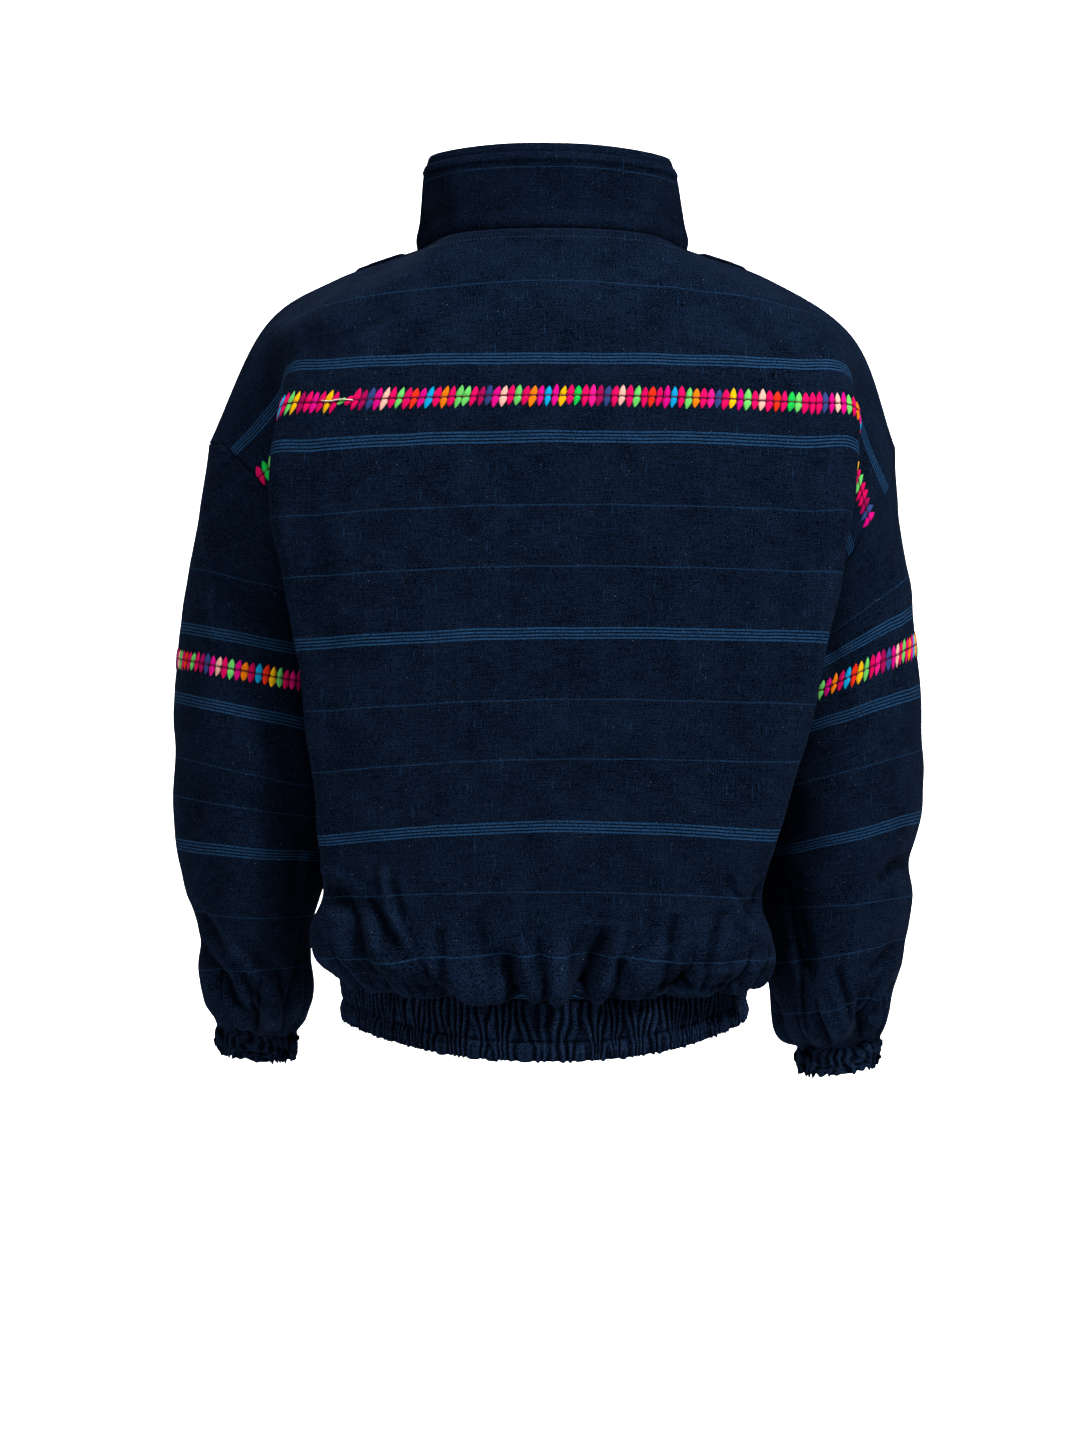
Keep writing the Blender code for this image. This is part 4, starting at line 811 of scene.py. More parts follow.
def share_seams(body, sleeves, neck, middle, underarm):
    """Panels that meet at a seam get the same normals there, so that their rims lie side by side."""
    back, left, right = body["back"].normals, body["front_left"].normals, body["front_right"].normals
    agree(back[0, middle + neck :], left[0, : middle - neck + 1][::-1])
    agree(back[0, : middle - neck + 1], right[0, neck:][::-1])
    agree(back[underarm:, -1], left[underarm:, 0])
    agree(back[underarm:, 0], right[underarm:, -1])
    for rear, fore, ring in (
        (back[: underarm + 1, -1], left[: underarm + 1, 0], sleeves["left"].normals[0][::-1]),
        (back[: underarm + 1, 0], right[: underarm + 1, -1], sleeves["right"].normals[0]),
    ):
        around_ring = np.concatenate([rear, fore[-2:0:-1]])
        around_ring[0] = unit(rear[0] + fore[0])
        around_ring[underarm] = unit(rear[-1] + fore[-1])
        agree(around_ring, ring)
        rear[...] = around_ring[: underarm + 1]
        fore[...] = np.concatenate([around_ring[:1], around_ring[:underarm - 1:-1]])


def surface(controls, known_rows, stations, rows, places):
    """Control rows joined by smooth curves down the cloth, then across it, at every row and place."""
    at_rows = smooth_through(known_rows, controls, rows)
    across = smooth_through(stations, at_rows.transpose(1, 0, 2), places)
    return across.transpose(1, 0, 2)


def station_columns():
    """Places across half a row: each stretch between two stations is divided evenly."""
    spans = zip(STATIONS, STATIONS[1:], COLUMNS_BETWEEN)
    return np.concatenate([[0.0]] + [np.linspace(a, b, count + 1)[1:] for a, b, count in spans])


def crease_push(points, normals, creases, facing):
    """How far creases push each point out: each is a bell across its line, a half sine along it, and
    acts only on cloth that faces its own way."""
    flat = points[..., ::2] / MM
    seen = np.clip(normals[..., 1] * facing * 3, 0, 1)
    push = np.zeros(points.shape[:2])
    for crease in creases:
        start = np.array([crease.x1, crease.z1])
        line = np.array([crease.x2, crease.z2]) - start
        along = ((flat - start) @ line) / (line @ line)
        away = np.linalg.norm(flat - start - np.clip(along, 0, 1)[..., None] * line, axis=-1)
        fade = np.sin(np.clip((along + 0.15) / 1.3, 0, 1) * pi)
        push += crease.height * fade * np.exp(-((away / crease.width) ** 2))
    return push * seen * MM


def swell_push(points):
    """Slow uneven swells: the sum of a few plane waves through space."""
    push = np.zeros(points.shape[:2])
    for swell in SWELLS:
        wave = points[..., 0] / swell.x + points[..., 1] / swell.y + points[..., 2] / swell.z
        push += swell.height * np.sin(wave / MM * 2 * pi + swell.phase)
    return push * MM


def pleat_push(places, rows, count, spread, end_row):
    """Small pleats above a gathered edge, unevenly spaced: narrow troughs with soft ridges between,
    deepest just above the edge and gone at a reach that differs from pleat to pleat."""
    places, rows = np.meshgrid(places, rows)
    number = np.arange(count)
    chance = (number * GOLDEN) % 1.0
    second = (number * GOLDEN * 7.3) % 1.0
    at = spread[0] + (spread[1] - spread[0]) * (number + 0.35 + 0.5 * chance) / count
    width = (spread[1] - spread[0]) / count * (0.28 + 0.16 * second)
    reach = 18 + 60 * second**2 + 16 * chance
    depth = 1.6 + 2.2 * chance
    push = np.zeros_like(places)
    for centre, half, far, deep in zip(at, width, reach, depth):
        rise = np.clip((rows - (end_row - far)) / far, 0, 1)
        slant = (centre - (1 - rise) * half * 0.8 * np.sign(np.sin(centre * 91)))
        bell = np.exp(-(((places - slant) / half) ** 2))
        push -= deep * bell * np.maximum(np.sin(np.clip(rise / 0.93, 0, 1) * pi), 0) ** 0.8
    return push * MM


def gather_push(gathers, places, rows):
    """The large gathers above the waistband: troughs, bells across and half a wave down the cloth."""
    places, rows = np.meshgrid(places, rows)
    push = np.zeros_like(places)
    for gather in gathers:
        across = np.exp(-(((places - gather.place) / (gather.half_width * 0.75)) ** 2))
        rise = np.clip((rows - (HEM - gather.reach)) / gather.reach, 0, 1)
        push -= gather.depth * 0.8 * across * np.sin(np.clip(rise / GATHER_CLOSES, 0, 1) * pi)
    return push * MM


def shifted(grid, normals, push, drop):
    """The grid pushed out along its normals and let down, both in mm."""
    moved = grid + normals * (push * MM)[..., None]
    moved[..., 2] -= drop * MM
    return moved


def lobed(grid, normals, distances, down, lobes, share):
    """Moves the cloth above a gathered seam into lobes that hang over it, with narrow tucks between.

    Across, a lobe is a power of a half wave. Down the cloth, its drop, its swelling and the tucks are
    half waves over a power of the way, and nought at the seam."""
    share_down = np.clip(1 - (down[-1] - down) / LOBE_REACH, 0, 1)[:, None]
    bump, drop, out = np.zeros((3, len(down), len(distances)))
    for lobe in lobes:
        middle = lobe.middle + lobe.lean * (1 - share_down)
        away = np.clip((distances[None, :] - middle) / lobe.half_width, -1, 1)
        wave = np.maximum(np.cos(away * pi / 2), 0) ** LOBE_ROUNDING
        bump = np.maximum(bump, wave)
        drop = np.maximum(drop, wave * lobe.drop)
        out = np.maximum(out, wave * lobe.out)
    hang = np.maximum(np.sin(share_down**HANG_LOW * pi), 0) ** LOBE_NARROWING
    swell = np.sin(share_down**SWELL_LOW * pi)
    tuck = np.sin(share_down**TUCK_LOW * pi)
    push = swell * out - tuck * (1 - bump) ** 2 * TUCK
    return shifted(grid, normals, push * share, hang * drop * share)


def bloused(grid, normals, distances, rows, lip, share):
    """Swells the cloth down to its lip, then turns it back under: the square of a ramp that ends in a
    smooth step. The lip itself is drawn down by a bell."""
    along, lip_row, out = np.array(lip, float).T
    below = rows[:, None] - np.interp(distances, along, lip_row)[None, :]
    out = np.interp(distances, along, out)
    ramp = np.clip(1 + below / LIP_RISE, 0, 1) ** 2
    turn = np.clip(0.5 + below / LIP_TURN / 2, 0, 1)
    push = out * ramp * (1 - turn * turn * (3 - 2 * turn))
    drop = out * LIP_DROP * np.exp(-((below / LIP_ROUND) ** 2))
    return shifted(grid, normals, push * share, drop * share)


def side_swell(grid, rows):
    """Moves the body's sides out towards the sleeves: a bell down the cloth, only far from the middle."""
    x = grid[..., 0] / MM
    swell = np.where(x > 0, SIDE_SWELL["left"], SIDE_SWELL["right"])
    bell = np.exp(-(((rows - SIDE_SWELL_ROW) / SIDE_SWELL_REACH) ** 2))[:, None]
    start, width = SIDE_SWELL_FROM
    moved = grid.copy()
    moved[..., 0] += np.sign(x) * swell * bell * np.clip((np.abs(x) - start) / width, 0, 1) * MM
    return moved


def below_shoulder(front):
    """Keeps a front below the line of its shoulder seam, so that the seam is the outline from behind."""
    seam = front[0][np.argsort(np.abs(front[0, :, 0]))]
    limit = np.interp(np.abs(front[..., 0]), np.abs(seam[:, 0]), seam[:, 2])
    front[1:, :, 2] = np.minimum(front[1:, :, 2], limit[1:] - SHOULDER_CLEAR)


def edge_fade(shape, sides=True):
    """1 inside a panel, falling smoothly to 0 at its top, its seams at the sides and its last rows."""
    rows, columns = shape
    down = np.clip(np.minimum(np.arange(rows) / TOP_FADE, np.arange(rows)[::-1] / BOTTOM_FADE), 0, 1)
    across = np.ones(columns)
    if sides:
        across = np.clip(np.minimum(np.arange(columns), np.arange(columns)[::-1]) / EDGE_FADE, 0, 1)
    fade = down[:, None] * across[None, :]
    return fade * fade * (3 - 2 * fade)


def back_surface(rows, half_places):
    """The whole back from its right edge to its left edge, with its folds, creases and gathers."""
    known, left = half_controls("back", "left")
    right = half_controls("back", "right")[1] * np.array([-1, 1, 1])
    controls = np.concatenate([right[:, :0:-1], left], axis=1)
    places = both_ways(half_places)
    grid = surface(controls, known, both_ways(np.array(STATIONS)), rows, places)
    normals = normals_of(grid)
    push = crease_push(grid, normals, BACK_CREASES, 1) + swell_push(grid)
    push += gather_push(BACK_GATHERS, places, rows)
    push += pleat_push(places, rows, FINE_PLEATS, (-PLEATS_END, PLEATS_END), HEM)
    along = across_mm(grid, grid.shape[1] // 2)[np.searchsorted(rows, HEM - ALONG_SEAM)]
    return hung(grid, normals, push, rows, along, BACK_LIP, BACK_LOBES)


def both_ways(half):
    """Places from -1 to 1, from those between 0 and 1."""
    return np.concatenate([-half[:0:-1], half])


def drifted(rows, half_places):
    """The distance down the flat cloth for each point of the back, where its weft lines drift.

    The drift is a curve of the fourth degree across, and it fades in and out down the back."""
    drift = np.polyval(np.polyfit(LINE_DRIFT_AT, LINE_DRIFT, 4), both_ways(half_places))
    return rows[:, None] + np.interp(rows, LINE_DRIFT_ROWS, (0, 1, 1, 0))[:, None] * drift


def front_surface(side, rows, half_places):
    """One front, from the zip outwards on the wearer's left, or the other way on the right."""
    sign = 1 if side == "left" else -1
    known, controls = half_controls("front", side)
    stations = (-STATIONS[1],) + STATIONS
    grid = surface(mirrored_start(controls), known, stations, rows, half_places)
    grid = grid * np.array([sign, 1, 1])
    push = gather_push(FRONT_GATHERS, half_places, rows)
    push += pleat_push(half_places, rows, FRONT_PLEATS, (PLEATS_START, PLEATS_END), HEM)
    if sign > 0:
        grid, push = grid[:, ::-1], push[:, ::-1]
    normals = normals_of(grid)
    push = push + crease_push(grid, normals, FRONT_CREASES, -1) + swell_push(grid)
    along = across_mm(grid, -1 if sign > 0 else 0)[np.searchsorted(rows, HEM - ALONG_SEAM)]
    return hung(grid, normals, push, rows, np.abs(along), FRONT_LIP, FRONT_LOBES)


def sleeve_rings(arm, cuff, sign, back_edge, front_edge):
    """A sleeve's sections from the armhole's own line to the cuff, and the angles of their points.

    The angles are halfway between even ones and ones that follow the length along the armhole. The
    first sections blend from the armhole's shape, let down to their height, into a rounded ring."""
    armhole = np.concatenate([back_edge, front_edge[-2:0:-1]])
    steps = np.linalg.norm(np.diff(back_edge, axis=0), axis=1)
    half = np.concatenate([[0], np.cumsum(steps)]) / steps.sum() * pi
    half = 0.5 * half + 0.5 * np.linspace(0, pi, len(back_edge))
    angles = np.concatenate([half, 2 * pi - half[-2:0:-1]])
    top, low = armhole[:, 2].max(), armhole[:, 2].min()
    share = ((armhole[:, 2] - top) / (low - top))[:, None]
    rings = [armhole]
    for index, ring in enumerate(arm, start=1):
        rounded = ring_points(ring, angles, sign)
        if index < len(ARMHOLE_BLEND):
            fall = np.array([0, 0, ring.outer_z * MM - top]) * (1 - share)
            fall = fall + np.array([0, 0, ring.inner_z * MM - low]) * share
            blend = ARMHOLE_BLEND[index]
            rounded = (armhole + fall) * (1 - blend) + rounded * blend
        if index <= ELBOW_RING:
            rounded[:, 2] = np.minimum(rounded[:, 2], rings[-1][:, 2] - ARMHOLE_FALL)
        rings.append(rounded)
    rings.append(cuff_ring(cuff, angles, sign, SLEEVE_END_OUT, 0.0) + np.array([0, 0, SEAM_GAP]))
    return np.array(rings), angles


def sleeve_surface(arm, cuff, sign, back_edge, front_edge):
    """A sleeve from the armhole to the cuff: its sections joined by smooth curves along the arm.

    Above the cuff it hangs lower behind, and over the cuff by the sum of two sines round it."""
    rings, angles = sleeve_rings(arm, cuff, sign, back_edge, front_edge)
    at = np.linspace(0, len(rings) - 1, (len(rings) - 1) * RINGS_BETWEEN + 1)
    grid = smooth_through(np.arange(len(rings)), rings, at)
    steps = np.linalg.norm(np.diff(grid, axis=0), axis=2).mean(axis=1)
    down = np.concatenate([[0], np.cumsum(steps)]) / MM
    if sign > 0:
        grid, angles = grid[:, ::-1], angles[::-1]
    normals = normals_of(grid, ring=True)
    push = crease_push(grid, normals, SLEEVE_CREASES, 1) + swell_push(grid)
    in_front = SLEEVE_CREASES[SLEEVE_FRONT_CREASES:]
    push += crease_push(grid, normals, in_front, -1) * SLEEVE_FRONT_SHARE
    turns = (angles / (2 * pi) + 0.5) % 1.0
    push += pleat_push(turns, down, CUFF_FINE_PLEATS, (0.0, 1.0), down[-1]) * CUFF_PLEAT_SHARE
    fade = edge_fade(push.shape, sides=False)
    push *= fade
    around_cuff = across_mm(grid, 0)[np.searchsorted(down, down[-1] - ALONG_CUFF)]
    grid = lobed(grid, normals, around_cuff, down, SLEEVE_LOBES, fade)
    near_end = np.clip(1 - (down[-1] - down) / SLEEVE_END_REACH, 0, 1)[:, None] ** 2
    uneven = sum((share * np.sin(around_cuff / reach) for share, reach in SLEEVE_UNEVEN), 1.0)
    sag = CUFF_SAG * SLEEVE_SAG_SHARE * normals[..., 1]
    hang = (sag + SLEEVE_OVERHANG * uneven[None, :]) * near_end
    grid = grid + normals * push[..., None]
    grid[..., 2] -= hang * MM
    return grid, down, down[np.arange(len(rings)) * RINGS_BETWEEN]


def across_mm(grid, start):
    """How far each point lies along its row from the column start, in mm."""
    steps = np.linalg.norm(np.diff(grid, axis=1), axis=2)
    along = np.concatenate([np.zeros((len(grid), 1)), np.cumsum(steps, axis=1)], axis=1)
    return (along - along[:, start][:, None]) / MM


@functools.cache
def jacket_form():
    """Every cloth panel as a fine grid, with the places on the flat cloth that it comes from."""
    places = station_columns()
    rows = np.concatenate([UPPER_ROWS, LOWER_ROWS[1:]])
    underarm = int(np.argmin(np.abs(rows - UNDERARM)))
    neck = int(np.argmin(np.abs(places - NECK_STATION)))
    middle = len(places) - 1
    back = back_surface(rows, places)
    left = front_surface("left", rows, places)
    right = front_surface("right", rows, places)
    for front, rear in ((left[:, ::-1], back[:, middle:]), (right, back[:, middle::-1])):
        front[0, neck:] = rear[0, neck:]
        below_shoulder(front)
        front[underarm:, -1] = rear[underarm:, -1]
    body = {"back": Panel(back), "front_left": Panel(left), "front_right": Panel(right)}
    flat = {"back": (across_mm(back, middle), rows), "front_left": (across_mm(left, middle), rows),
            "front_right": (across_mm(right, 0), rows)}
    sleeves, sections = {}, {}
    for side, sign, front, arm, cuff in (("left", 1, left, ARM_LEFT, CUFF_LEFT),
                                         ("right", -1, right, ARM_RIGHT, CUFF_RIGHT)):
        back_edge = back[: underarm + 1, -1 if sign > 0 else 0]
        front_edge = front[: underarm + 1, 0 if sign > 0 else -1]
        grid, down, sections[side] = sleeve_surface(arm, cuff, sign, back_edge, front_edge)
        sleeves[side] = Panel(grid, ring=True)
        flat["sleeve_" + side] = (across_mm(grid, 0), down)
    share_seams(body, sleeves, neck, middle, underarm)
    neckline = np.concatenate([right[0, : neck + 1], back[0, middle - neck + 1 : middle + neck],
                               left[0, middle - neck :]])
    return {"body": body, "sleeves": sleeves, "flat": flat, "sections": sections, "rows": rows,
            "seam": len(UPPER_ROWS) - 1, "neckline": neckline, "lines": drifted(rows, places),
            "zip": zip_path(left[:, -1])}


def grid_faces(rows, columns, ring=False):
    """The quads of a grid whose outward side follows from rows down and columns across."""
    row, column = np.meshgrid(np.arange(rows - 1), np.arange(columns if ring else columns - 1),
                              indexing="ij")
    here, after = row * columns + column, row * columns + (column + 1) % columns
    return np.stack([here, after, after + columns, here + columns], axis=-1).reshape(-1, 4)


def mesh_piece(name, points, faces, material, layers=(), smooth=True):
    """A mesh object from whole arrays; layers are (name, one pair of coordinates for each point)."""
    mesh = bpy.data.meshes.new(name)
    points = np.asarray(points, float).reshape(-1, 3)
    mesh.vertices.add(len(points))
    mesh.vertices.foreach_set("co", points.ravel())
    sizes = np.array([len(face) for face in faces])
    corners = np.concatenate(list(faces))
    mesh.loops.add(len(corners))
    mesh.loops.foreach_set("vertex_index", corners)
    mesh.polygons.add(len(sizes))
    mesh.polygons.foreach_set("loop_start", np.concatenate([[0], np.cumsum(sizes)[:-1]]))
    mesh.polygons.foreach_set("loop_total", sizes)
    for label, pairs in layers:
        layer = mesh.uv_layers.new(name=label)
        layer.uv.foreach_set("vector", np.asarray(pairs, float).reshape(-1, 2)[corners].ravel())
    mesh.polygons.foreach_set("use_smooth", np.full(len(sizes), smooth))
    mesh.update(calc_edges=True)
    mesh.validate()
    mesh.materials.append(material)
    made = bpy.data.objects.new(name, mesh)
    bpy.context.collection.objects.link(made)
    return made


def closed(grid, ring):
    """A grid, with its first column again at the end where it is a tube."""
    return np.concatenate([grid, grid[:, :1]], axis=1) if ring else grid


def rub_highlight_and_shade(grid, ring=False):
    """How far each point's tone is shifted, from 1 on a sharp ridge, where the indigo rubs pale and a
    painted highlight lies, to -1 in a groove, where painted shade lies.

    It is the curvature of the grid's lines both ways, squeezed between those limits."""
    normals = normals_of(grid, ring)
    curved = np.zeros(grid.shape[:2])
    padded = np.pad(grid, ((0, 0), (1, 1), (0, 0)), mode="wrap" if ring else "edge")
    for own, before, after in ((np.s_[:], padded[:, :-2], padded[:, 2:]),
                               (np.s_[1:-1], grid[:-2], grid[2:])):
        offset = ((grid[own] - (before + after) / 2) * normals[own]).sum(axis=-1)
        spacing = (np.linalg.norm(after - before, axis=-1) / 2) ** 2 / 2
        curved[own] += offset / np.maximum(spacing, 1e-9)
    if not ring:
        curved[:, [0, -1]] = curved[:, [1, -2]]
    return curved / (np.abs(curved) + TONE_SHIFT_BEND)


def cloth_piece(name, grid, places, material, thickness, ring=False):
    """A panel of cloth: its outer face from the grid, its thickness put on inside by Solidify.

    places gives each point's millimetres across and down the flat cloth."""
    across, down = places
    grid, tone_shift = closed(grid, ring), closed(rub_highlight_and_shade(grid, ring), ring)
    if ring:
        step = np.linalg.norm(grid[:, -1] - grid[:, -2], axis=1) / MM
        across = np.concatenate([across, across[:, -1:] + step[:, None]], axis=1)
    down = np.broadcast_to(down.reshape(len(grid), -1), across.shape)
    flat = np.stack([across, down], axis=-1) * MM
    made = mesh_piece(name, grid, grid_faces(*across.shape), material, [("cloth", flat)])
    # Each point carries how its tone is shifted: paler on ridges, as rubbed indigo and painted highlight,
    # darker in grooves, as painted shade.
    made.data.attributes.new("tone_shift", "FLOAT", "POINT").data.foreach_set("value", tone_shift.ravel())
    if ring:
        weld = made.modifiers.new("Close the tube", "WELD")
        weld.merge_threshold = 0.01 * MM
    wall = made.modifiers.new("Cloth thickness", "SOLIDIFY")
    wall.thickness = thickness
    wall.offset = -1.0
    wall.use_even_offset = False
    return made


def dressed(node, grid, places, length, material, wall=CLOTH, ring=False,
            name=None):
    """Cloth in a node's place, put on the jacket with the node hidden. Its flat width, its area over its
    length, is worked out but not kept.
    """
    piece = cloth_piece(name or "cloth_" + node, grid, places, material, wall, ring)
    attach(piece, "jacket")
    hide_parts(node)
    panel_area(grid, ring) / length


def thread_on(piece, node=None):
    """The piece is thread on the jacket, and stands for a node if one is given."""
    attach(piece, "jacket")
    if node:
        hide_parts(node)


class Value:
    """A number in a material; Python's operators on it add Math nodes."""

    def __init__(self, tree, socket):
        self.tree = tree
        self.socket = socket

    def __add__(self, other):
        return self.tree.math("ADD", self, other)

    def __sub__(self, other):
        return self.tree.math("SUBTRACT", self, other)

    def __rsub__(self, other):
        return self.tree.math("SUBTRACT", other, self)

    def __mul__(self, other):
        return self.tree.math("MULTIPLY", self, other)

    def __truediv__(self, other):
        return self.tree.math("DIVIDE", self, other)

    def __abs__(self):
        return self.tree.math("ABSOLUTE", self)

    __radd__ = __add__
    __rmul__ = __mul__


class Finish:
    """A material's nodes. Each helper adds one node and gives back what it makes."""

    def __init__(self, name, **constants):
        self.material = bpy.data.materials.new(name)
        self.material.use_nodes = True
        self.nodes = self.material.node_tree.nodes
        self.links = self.material.node_tree.links
        self.shader = self.nodes["Principled BSDF"]
        for socket, value in constants.items():
            self.shader.inputs[socket.replace("_", " ").title().replace("Ior", "IOR")].default_value = value

    def add(self, kind, settings=None, inputs=None):
        """A node of that kind, its settings made first and then its sockets' values or links."""
        node = self.nodes.new("ShaderNode" + kind)
        for key, value in (settings or {}).items():
            setattr(node, key, value)
        for key, value in (inputs or {}).items():
            self.feed(node.inputs[key], value)
        return node

    def feed(self, socket, value):
        """Links a socket to a value, or sets it to a number or colour."""
        if isinstance(value, Value):
            value = value.socket
        if isinstance(value, bpy.types.NodeSocket):
            self.links.new(value, socket)
        else:
            socket.default_value = value

    def surface(self, socket, value):
        """Sets what the shader's own socket gets."""
        self.feed(self.shader.inputs[socket], value)

    def math(self, operation, *values):
        """A Math node's result."""
        node = self.add("Math", {"operation": operation}, dict(enumerate(values)))
        return Value(self, node.outputs[0])

    def least(self, values):
        """The smallest of several numbers."""
        return functools.reduce(lambda first, second: self.math("MINIMUM", first, second), values)

    def ramp(self, value, low, high):
        """0 where value is low, 1 where it is high, and smooth between."""
        node = self.add("MapRange", {"interpolation_type": "SMOOTHSTEP"},
                        {"Value": value, "From Min": low, "From Max": high})
        return Value(self, node.outputs[0])

    def mix(self, factor, first, second):
        """A colour between two, as a socket."""
        node = self.add("Mix", {"data_type": "RGBA"}, {0: factor, 6: first, 7: second})
        return node.outputs[2]

    def brighten(self, colour, amount):
        """A colour made lighter or darker by a number."""
        node = self.add("VectorMath", {"operation": "SCALE"}, {0: colour, "Scale": amount})
        return node.outputs[0]

    def noise(self, across, down, detail=2.0, third=0.0):
        """Noise over two numbers that are already scaled."""
        place = self.add("CombineXYZ", inputs={0: across, 1: down, 2: third}).outputs[0]
        node = self.add("TexNoise", {"noise_dimensions": "3D"},
                        {"Vector": place, "Scale": 1.0, "Detail": detail})
        return Value(self, node.outputs[0])

    def on_cloth(self, layer="cloth"):
        """Metres across and down the flat cloth."""
        place = self.add("UVMap", {"uv_map": layer}).outputs[0]
        parts = self.add("SeparateXYZ", inputs={0: place})
        return Value(self, parts.outputs[0]), Value(self, parts.outputs[1])

    def attribute(self, name):
        """A number that each point of the piece carries."""
        return Value(self, self.add("Attribute", {"attribute_name": name}).outputs["Fac"])

    def bump(self, height, strength, distance):
        """Relief in the surface, from a height between 0 and 1 that stands for a distance in metres."""
        node = self.add("Bump", inputs={"Height": height, "Strength": strength, "Distance": distance})
        self.surface("Normal", node.outputs[0])


def colour4(colour):
    """A colour with full opacity."""
    return (*colour, 1.0)


def woven_cloth(name, settings, bands=(), singles=(), painted_shade=1.0, nap=1.0, ridge_rub_and_highlight=0.7):
    """Handwoven indigo cotton: uneven warp and weft, slubs, worn nap and pale weft lines.

    The lines lie where the distance down the cloth comes near the middle of a single line, or near
    one of the four lines of a band, which lie half and one and a half pitches from its middle."""
    finish = Finish(name, roughness=0.9, specular_ior_level=settings.cloth_gloss,
                    sheen_weight=settings.sheen, sheen_roughness=0.45, sheen_tint=SHEEN_TINT)
    across, down = finish.on_cloth()

    def weave(kind):
        """The noise of that kind over the flat cloth, cut to its range where it has one."""
        yarn = WEAVE[kind]
        noise = finish.noise(across * yarn.across, down * yarn.down, yarn.detail, yarn.slice)
        return finish.ramp(noise, *yarn.range) if yarn.range else noise

    wandering = down + (weave("waver") - 0.5) * LINE_WAVER
    grain, warp, weft, worn = weave("grain"), weave("warp"), weave("weft"), weave("worn")
    fibres = 1 - finish.ramp(abs(weave("fibres") - 0.5), 0.0, FIBRE_WIDTH)
    tone = EVEN_TONE + grain * TONE["grain"] + (warp - 0.5) * TONE["warp"]
    tone = tone + (weft - 0.5) * TONE["weft"] + fibres * TONE["fibres"]
    tone = tone + (weave("wide_warp") - 0.5) * TONE["wide_warp"] + (worn - 0.5) * TONE["worn"] * nap
    # Painted highlight and shade from the cloth's bend: the tone rises on ridges, where the indigo also
    # rubs pale, and falls in grooves as painted shade.
    tone_shift = finish.attribute("tone_shift")
    tone = tone * (1 + finish.math("MAXIMUM", tone_shift, 0.0) * ridge_rub_and_highlight + finish.math("MINIMUM", tone_shift, 0.0))
    # The whole colour is darkened for the collar and its facing: painted shade.
    navy = tuple(part * painted_shade for part in settings.cloth_colour)
    pale = tuple(part * painted_shade for part in settings.line_colour)
    strengths, dark = [], 0.0
    if bands:
        centre = finish.least([abs(wandering - band * MM) for band in bands])
        half = LINE_PITCH / 2 * MM
        nearest = finish.least([abs(centre - half), abs(centre - 3 * half)])
        strengths.append((1 - finish.ramp(nearest, *BAND_LINE_EDGE)) * BAND_LINE_STRENGTH)
        dark = 1 - finish.ramp(centre, *BAND_EDGE)
    if singles:
        centre = finish.least([abs(wandering - single * MM) for single in singles])
        strengths.append((1 - finish.ramp(centre, *SINGLE_LINE_EDGE)) * SINGLE_LINE_STRENGTH)
    colour = finish.brighten(navy, tone * (1 - dark * BAND_SHADE))
    colour = finish.mix(weave("slubs") * SLUB_STRENGTH, colour, colour4(pale))
    if strengths:
        faded = 0.55 + weave("faded") * 0.75
        strength = sum(strengths[1:], strengths[0]) * faded * (0.5 + weave("broken") * 0.5)
        colour = finish.mix(finish.math("MINIMUM", strength, 1.0), colour,
                            finish.brighten(pale, 0.5 + grain * 0.5 + warp * 0.3))
    colour = finish.mix(weave("lint") * LINT_STRENGTH, colour, LINT_COLOUR)
    finish.surface("Base Color", colour)
    finish.surface("Roughness", LEAST_ROUGHNESS + warp * WARP_ROUGHNESS)
    height = grain * RELIEF["grain"] + warp * RELIEF["warp"] + weft * RELIEF["weft"]
    finish.bump(height, RELIEF_STRENGTH, RELIEF_DEPTH)
    return finish.material


def plain_cloth(name, colour, roughness, pitch, sheen=0.1):
    """A closely woven tape or facing: a fine chevron of threads in one colour."""
    finish = Finish(name, roughness=roughness, specular_ior_level=0.1, sheen_weight=sheen)
    across, down = finish.on_cloth()
    shift = abs(finish.math("FRACT", across / 0.0026) - 0.5) * 0.0026
    thread = finish.math("SINE", (down + shift) * (2 * pi / pitch))
    tone = 0.85 + thread * 0.15 + (finish.noise(across * 500, down * 500) - 0.5) * 0.3
    finish.surface("Base Color", finish.brighten(colour, tone))
    finish.bump(thread, 0.4, 0.00012)
    return finish.material


def embroidery_thread(name):
    """Soft cotton strands side by side, in the colour that each motif carries."""
    finish = Finish(name, roughness=0.7, specular_ior_level=0.04)
    across, along = finish.on_cloth("strand")
    strand = finish.math("SINE", across * (2 * pi / 0.00062))
    uneven = finish.noise(across * 1500, along * 160, 2.0)
    tone = 0.74 + strand * 0.16 + uneven * 0.34
    carried = finish.add("VertexColor", {"layer_name": "thread"}).outputs[0]
    finish.surface("Base Color", finish.brighten(carried, tone))
    finish.bump(strand + uneven, 0.6, 0.00022)
    return finish.material


def zip_brass(name, colour, roughness):
    """Aged zip metal: brighter and rougher in small random spots, duller and smoother between them, with a
    faint relief.
    """
    finish = Finish(name, metallic=1.0, roughness=roughness)
    place = finish.add("TexCoord").outputs["Object"]
    spots = finish.add("TexNoise", inputs={"Vector": place, "Scale": 900.0, "Detail": 3.0})
    tone_shift = Value(finish, spots.outputs[0])
    finish.surface("Base Color", finish.brighten(colour, 0.65 + tone_shift * 0.7))
    finish.surface("Roughness", roughness - 0.12 + tone_shift * 0.25)
    finish.bump(tone_shift, 0.15, 0.0001)
    return finish.material


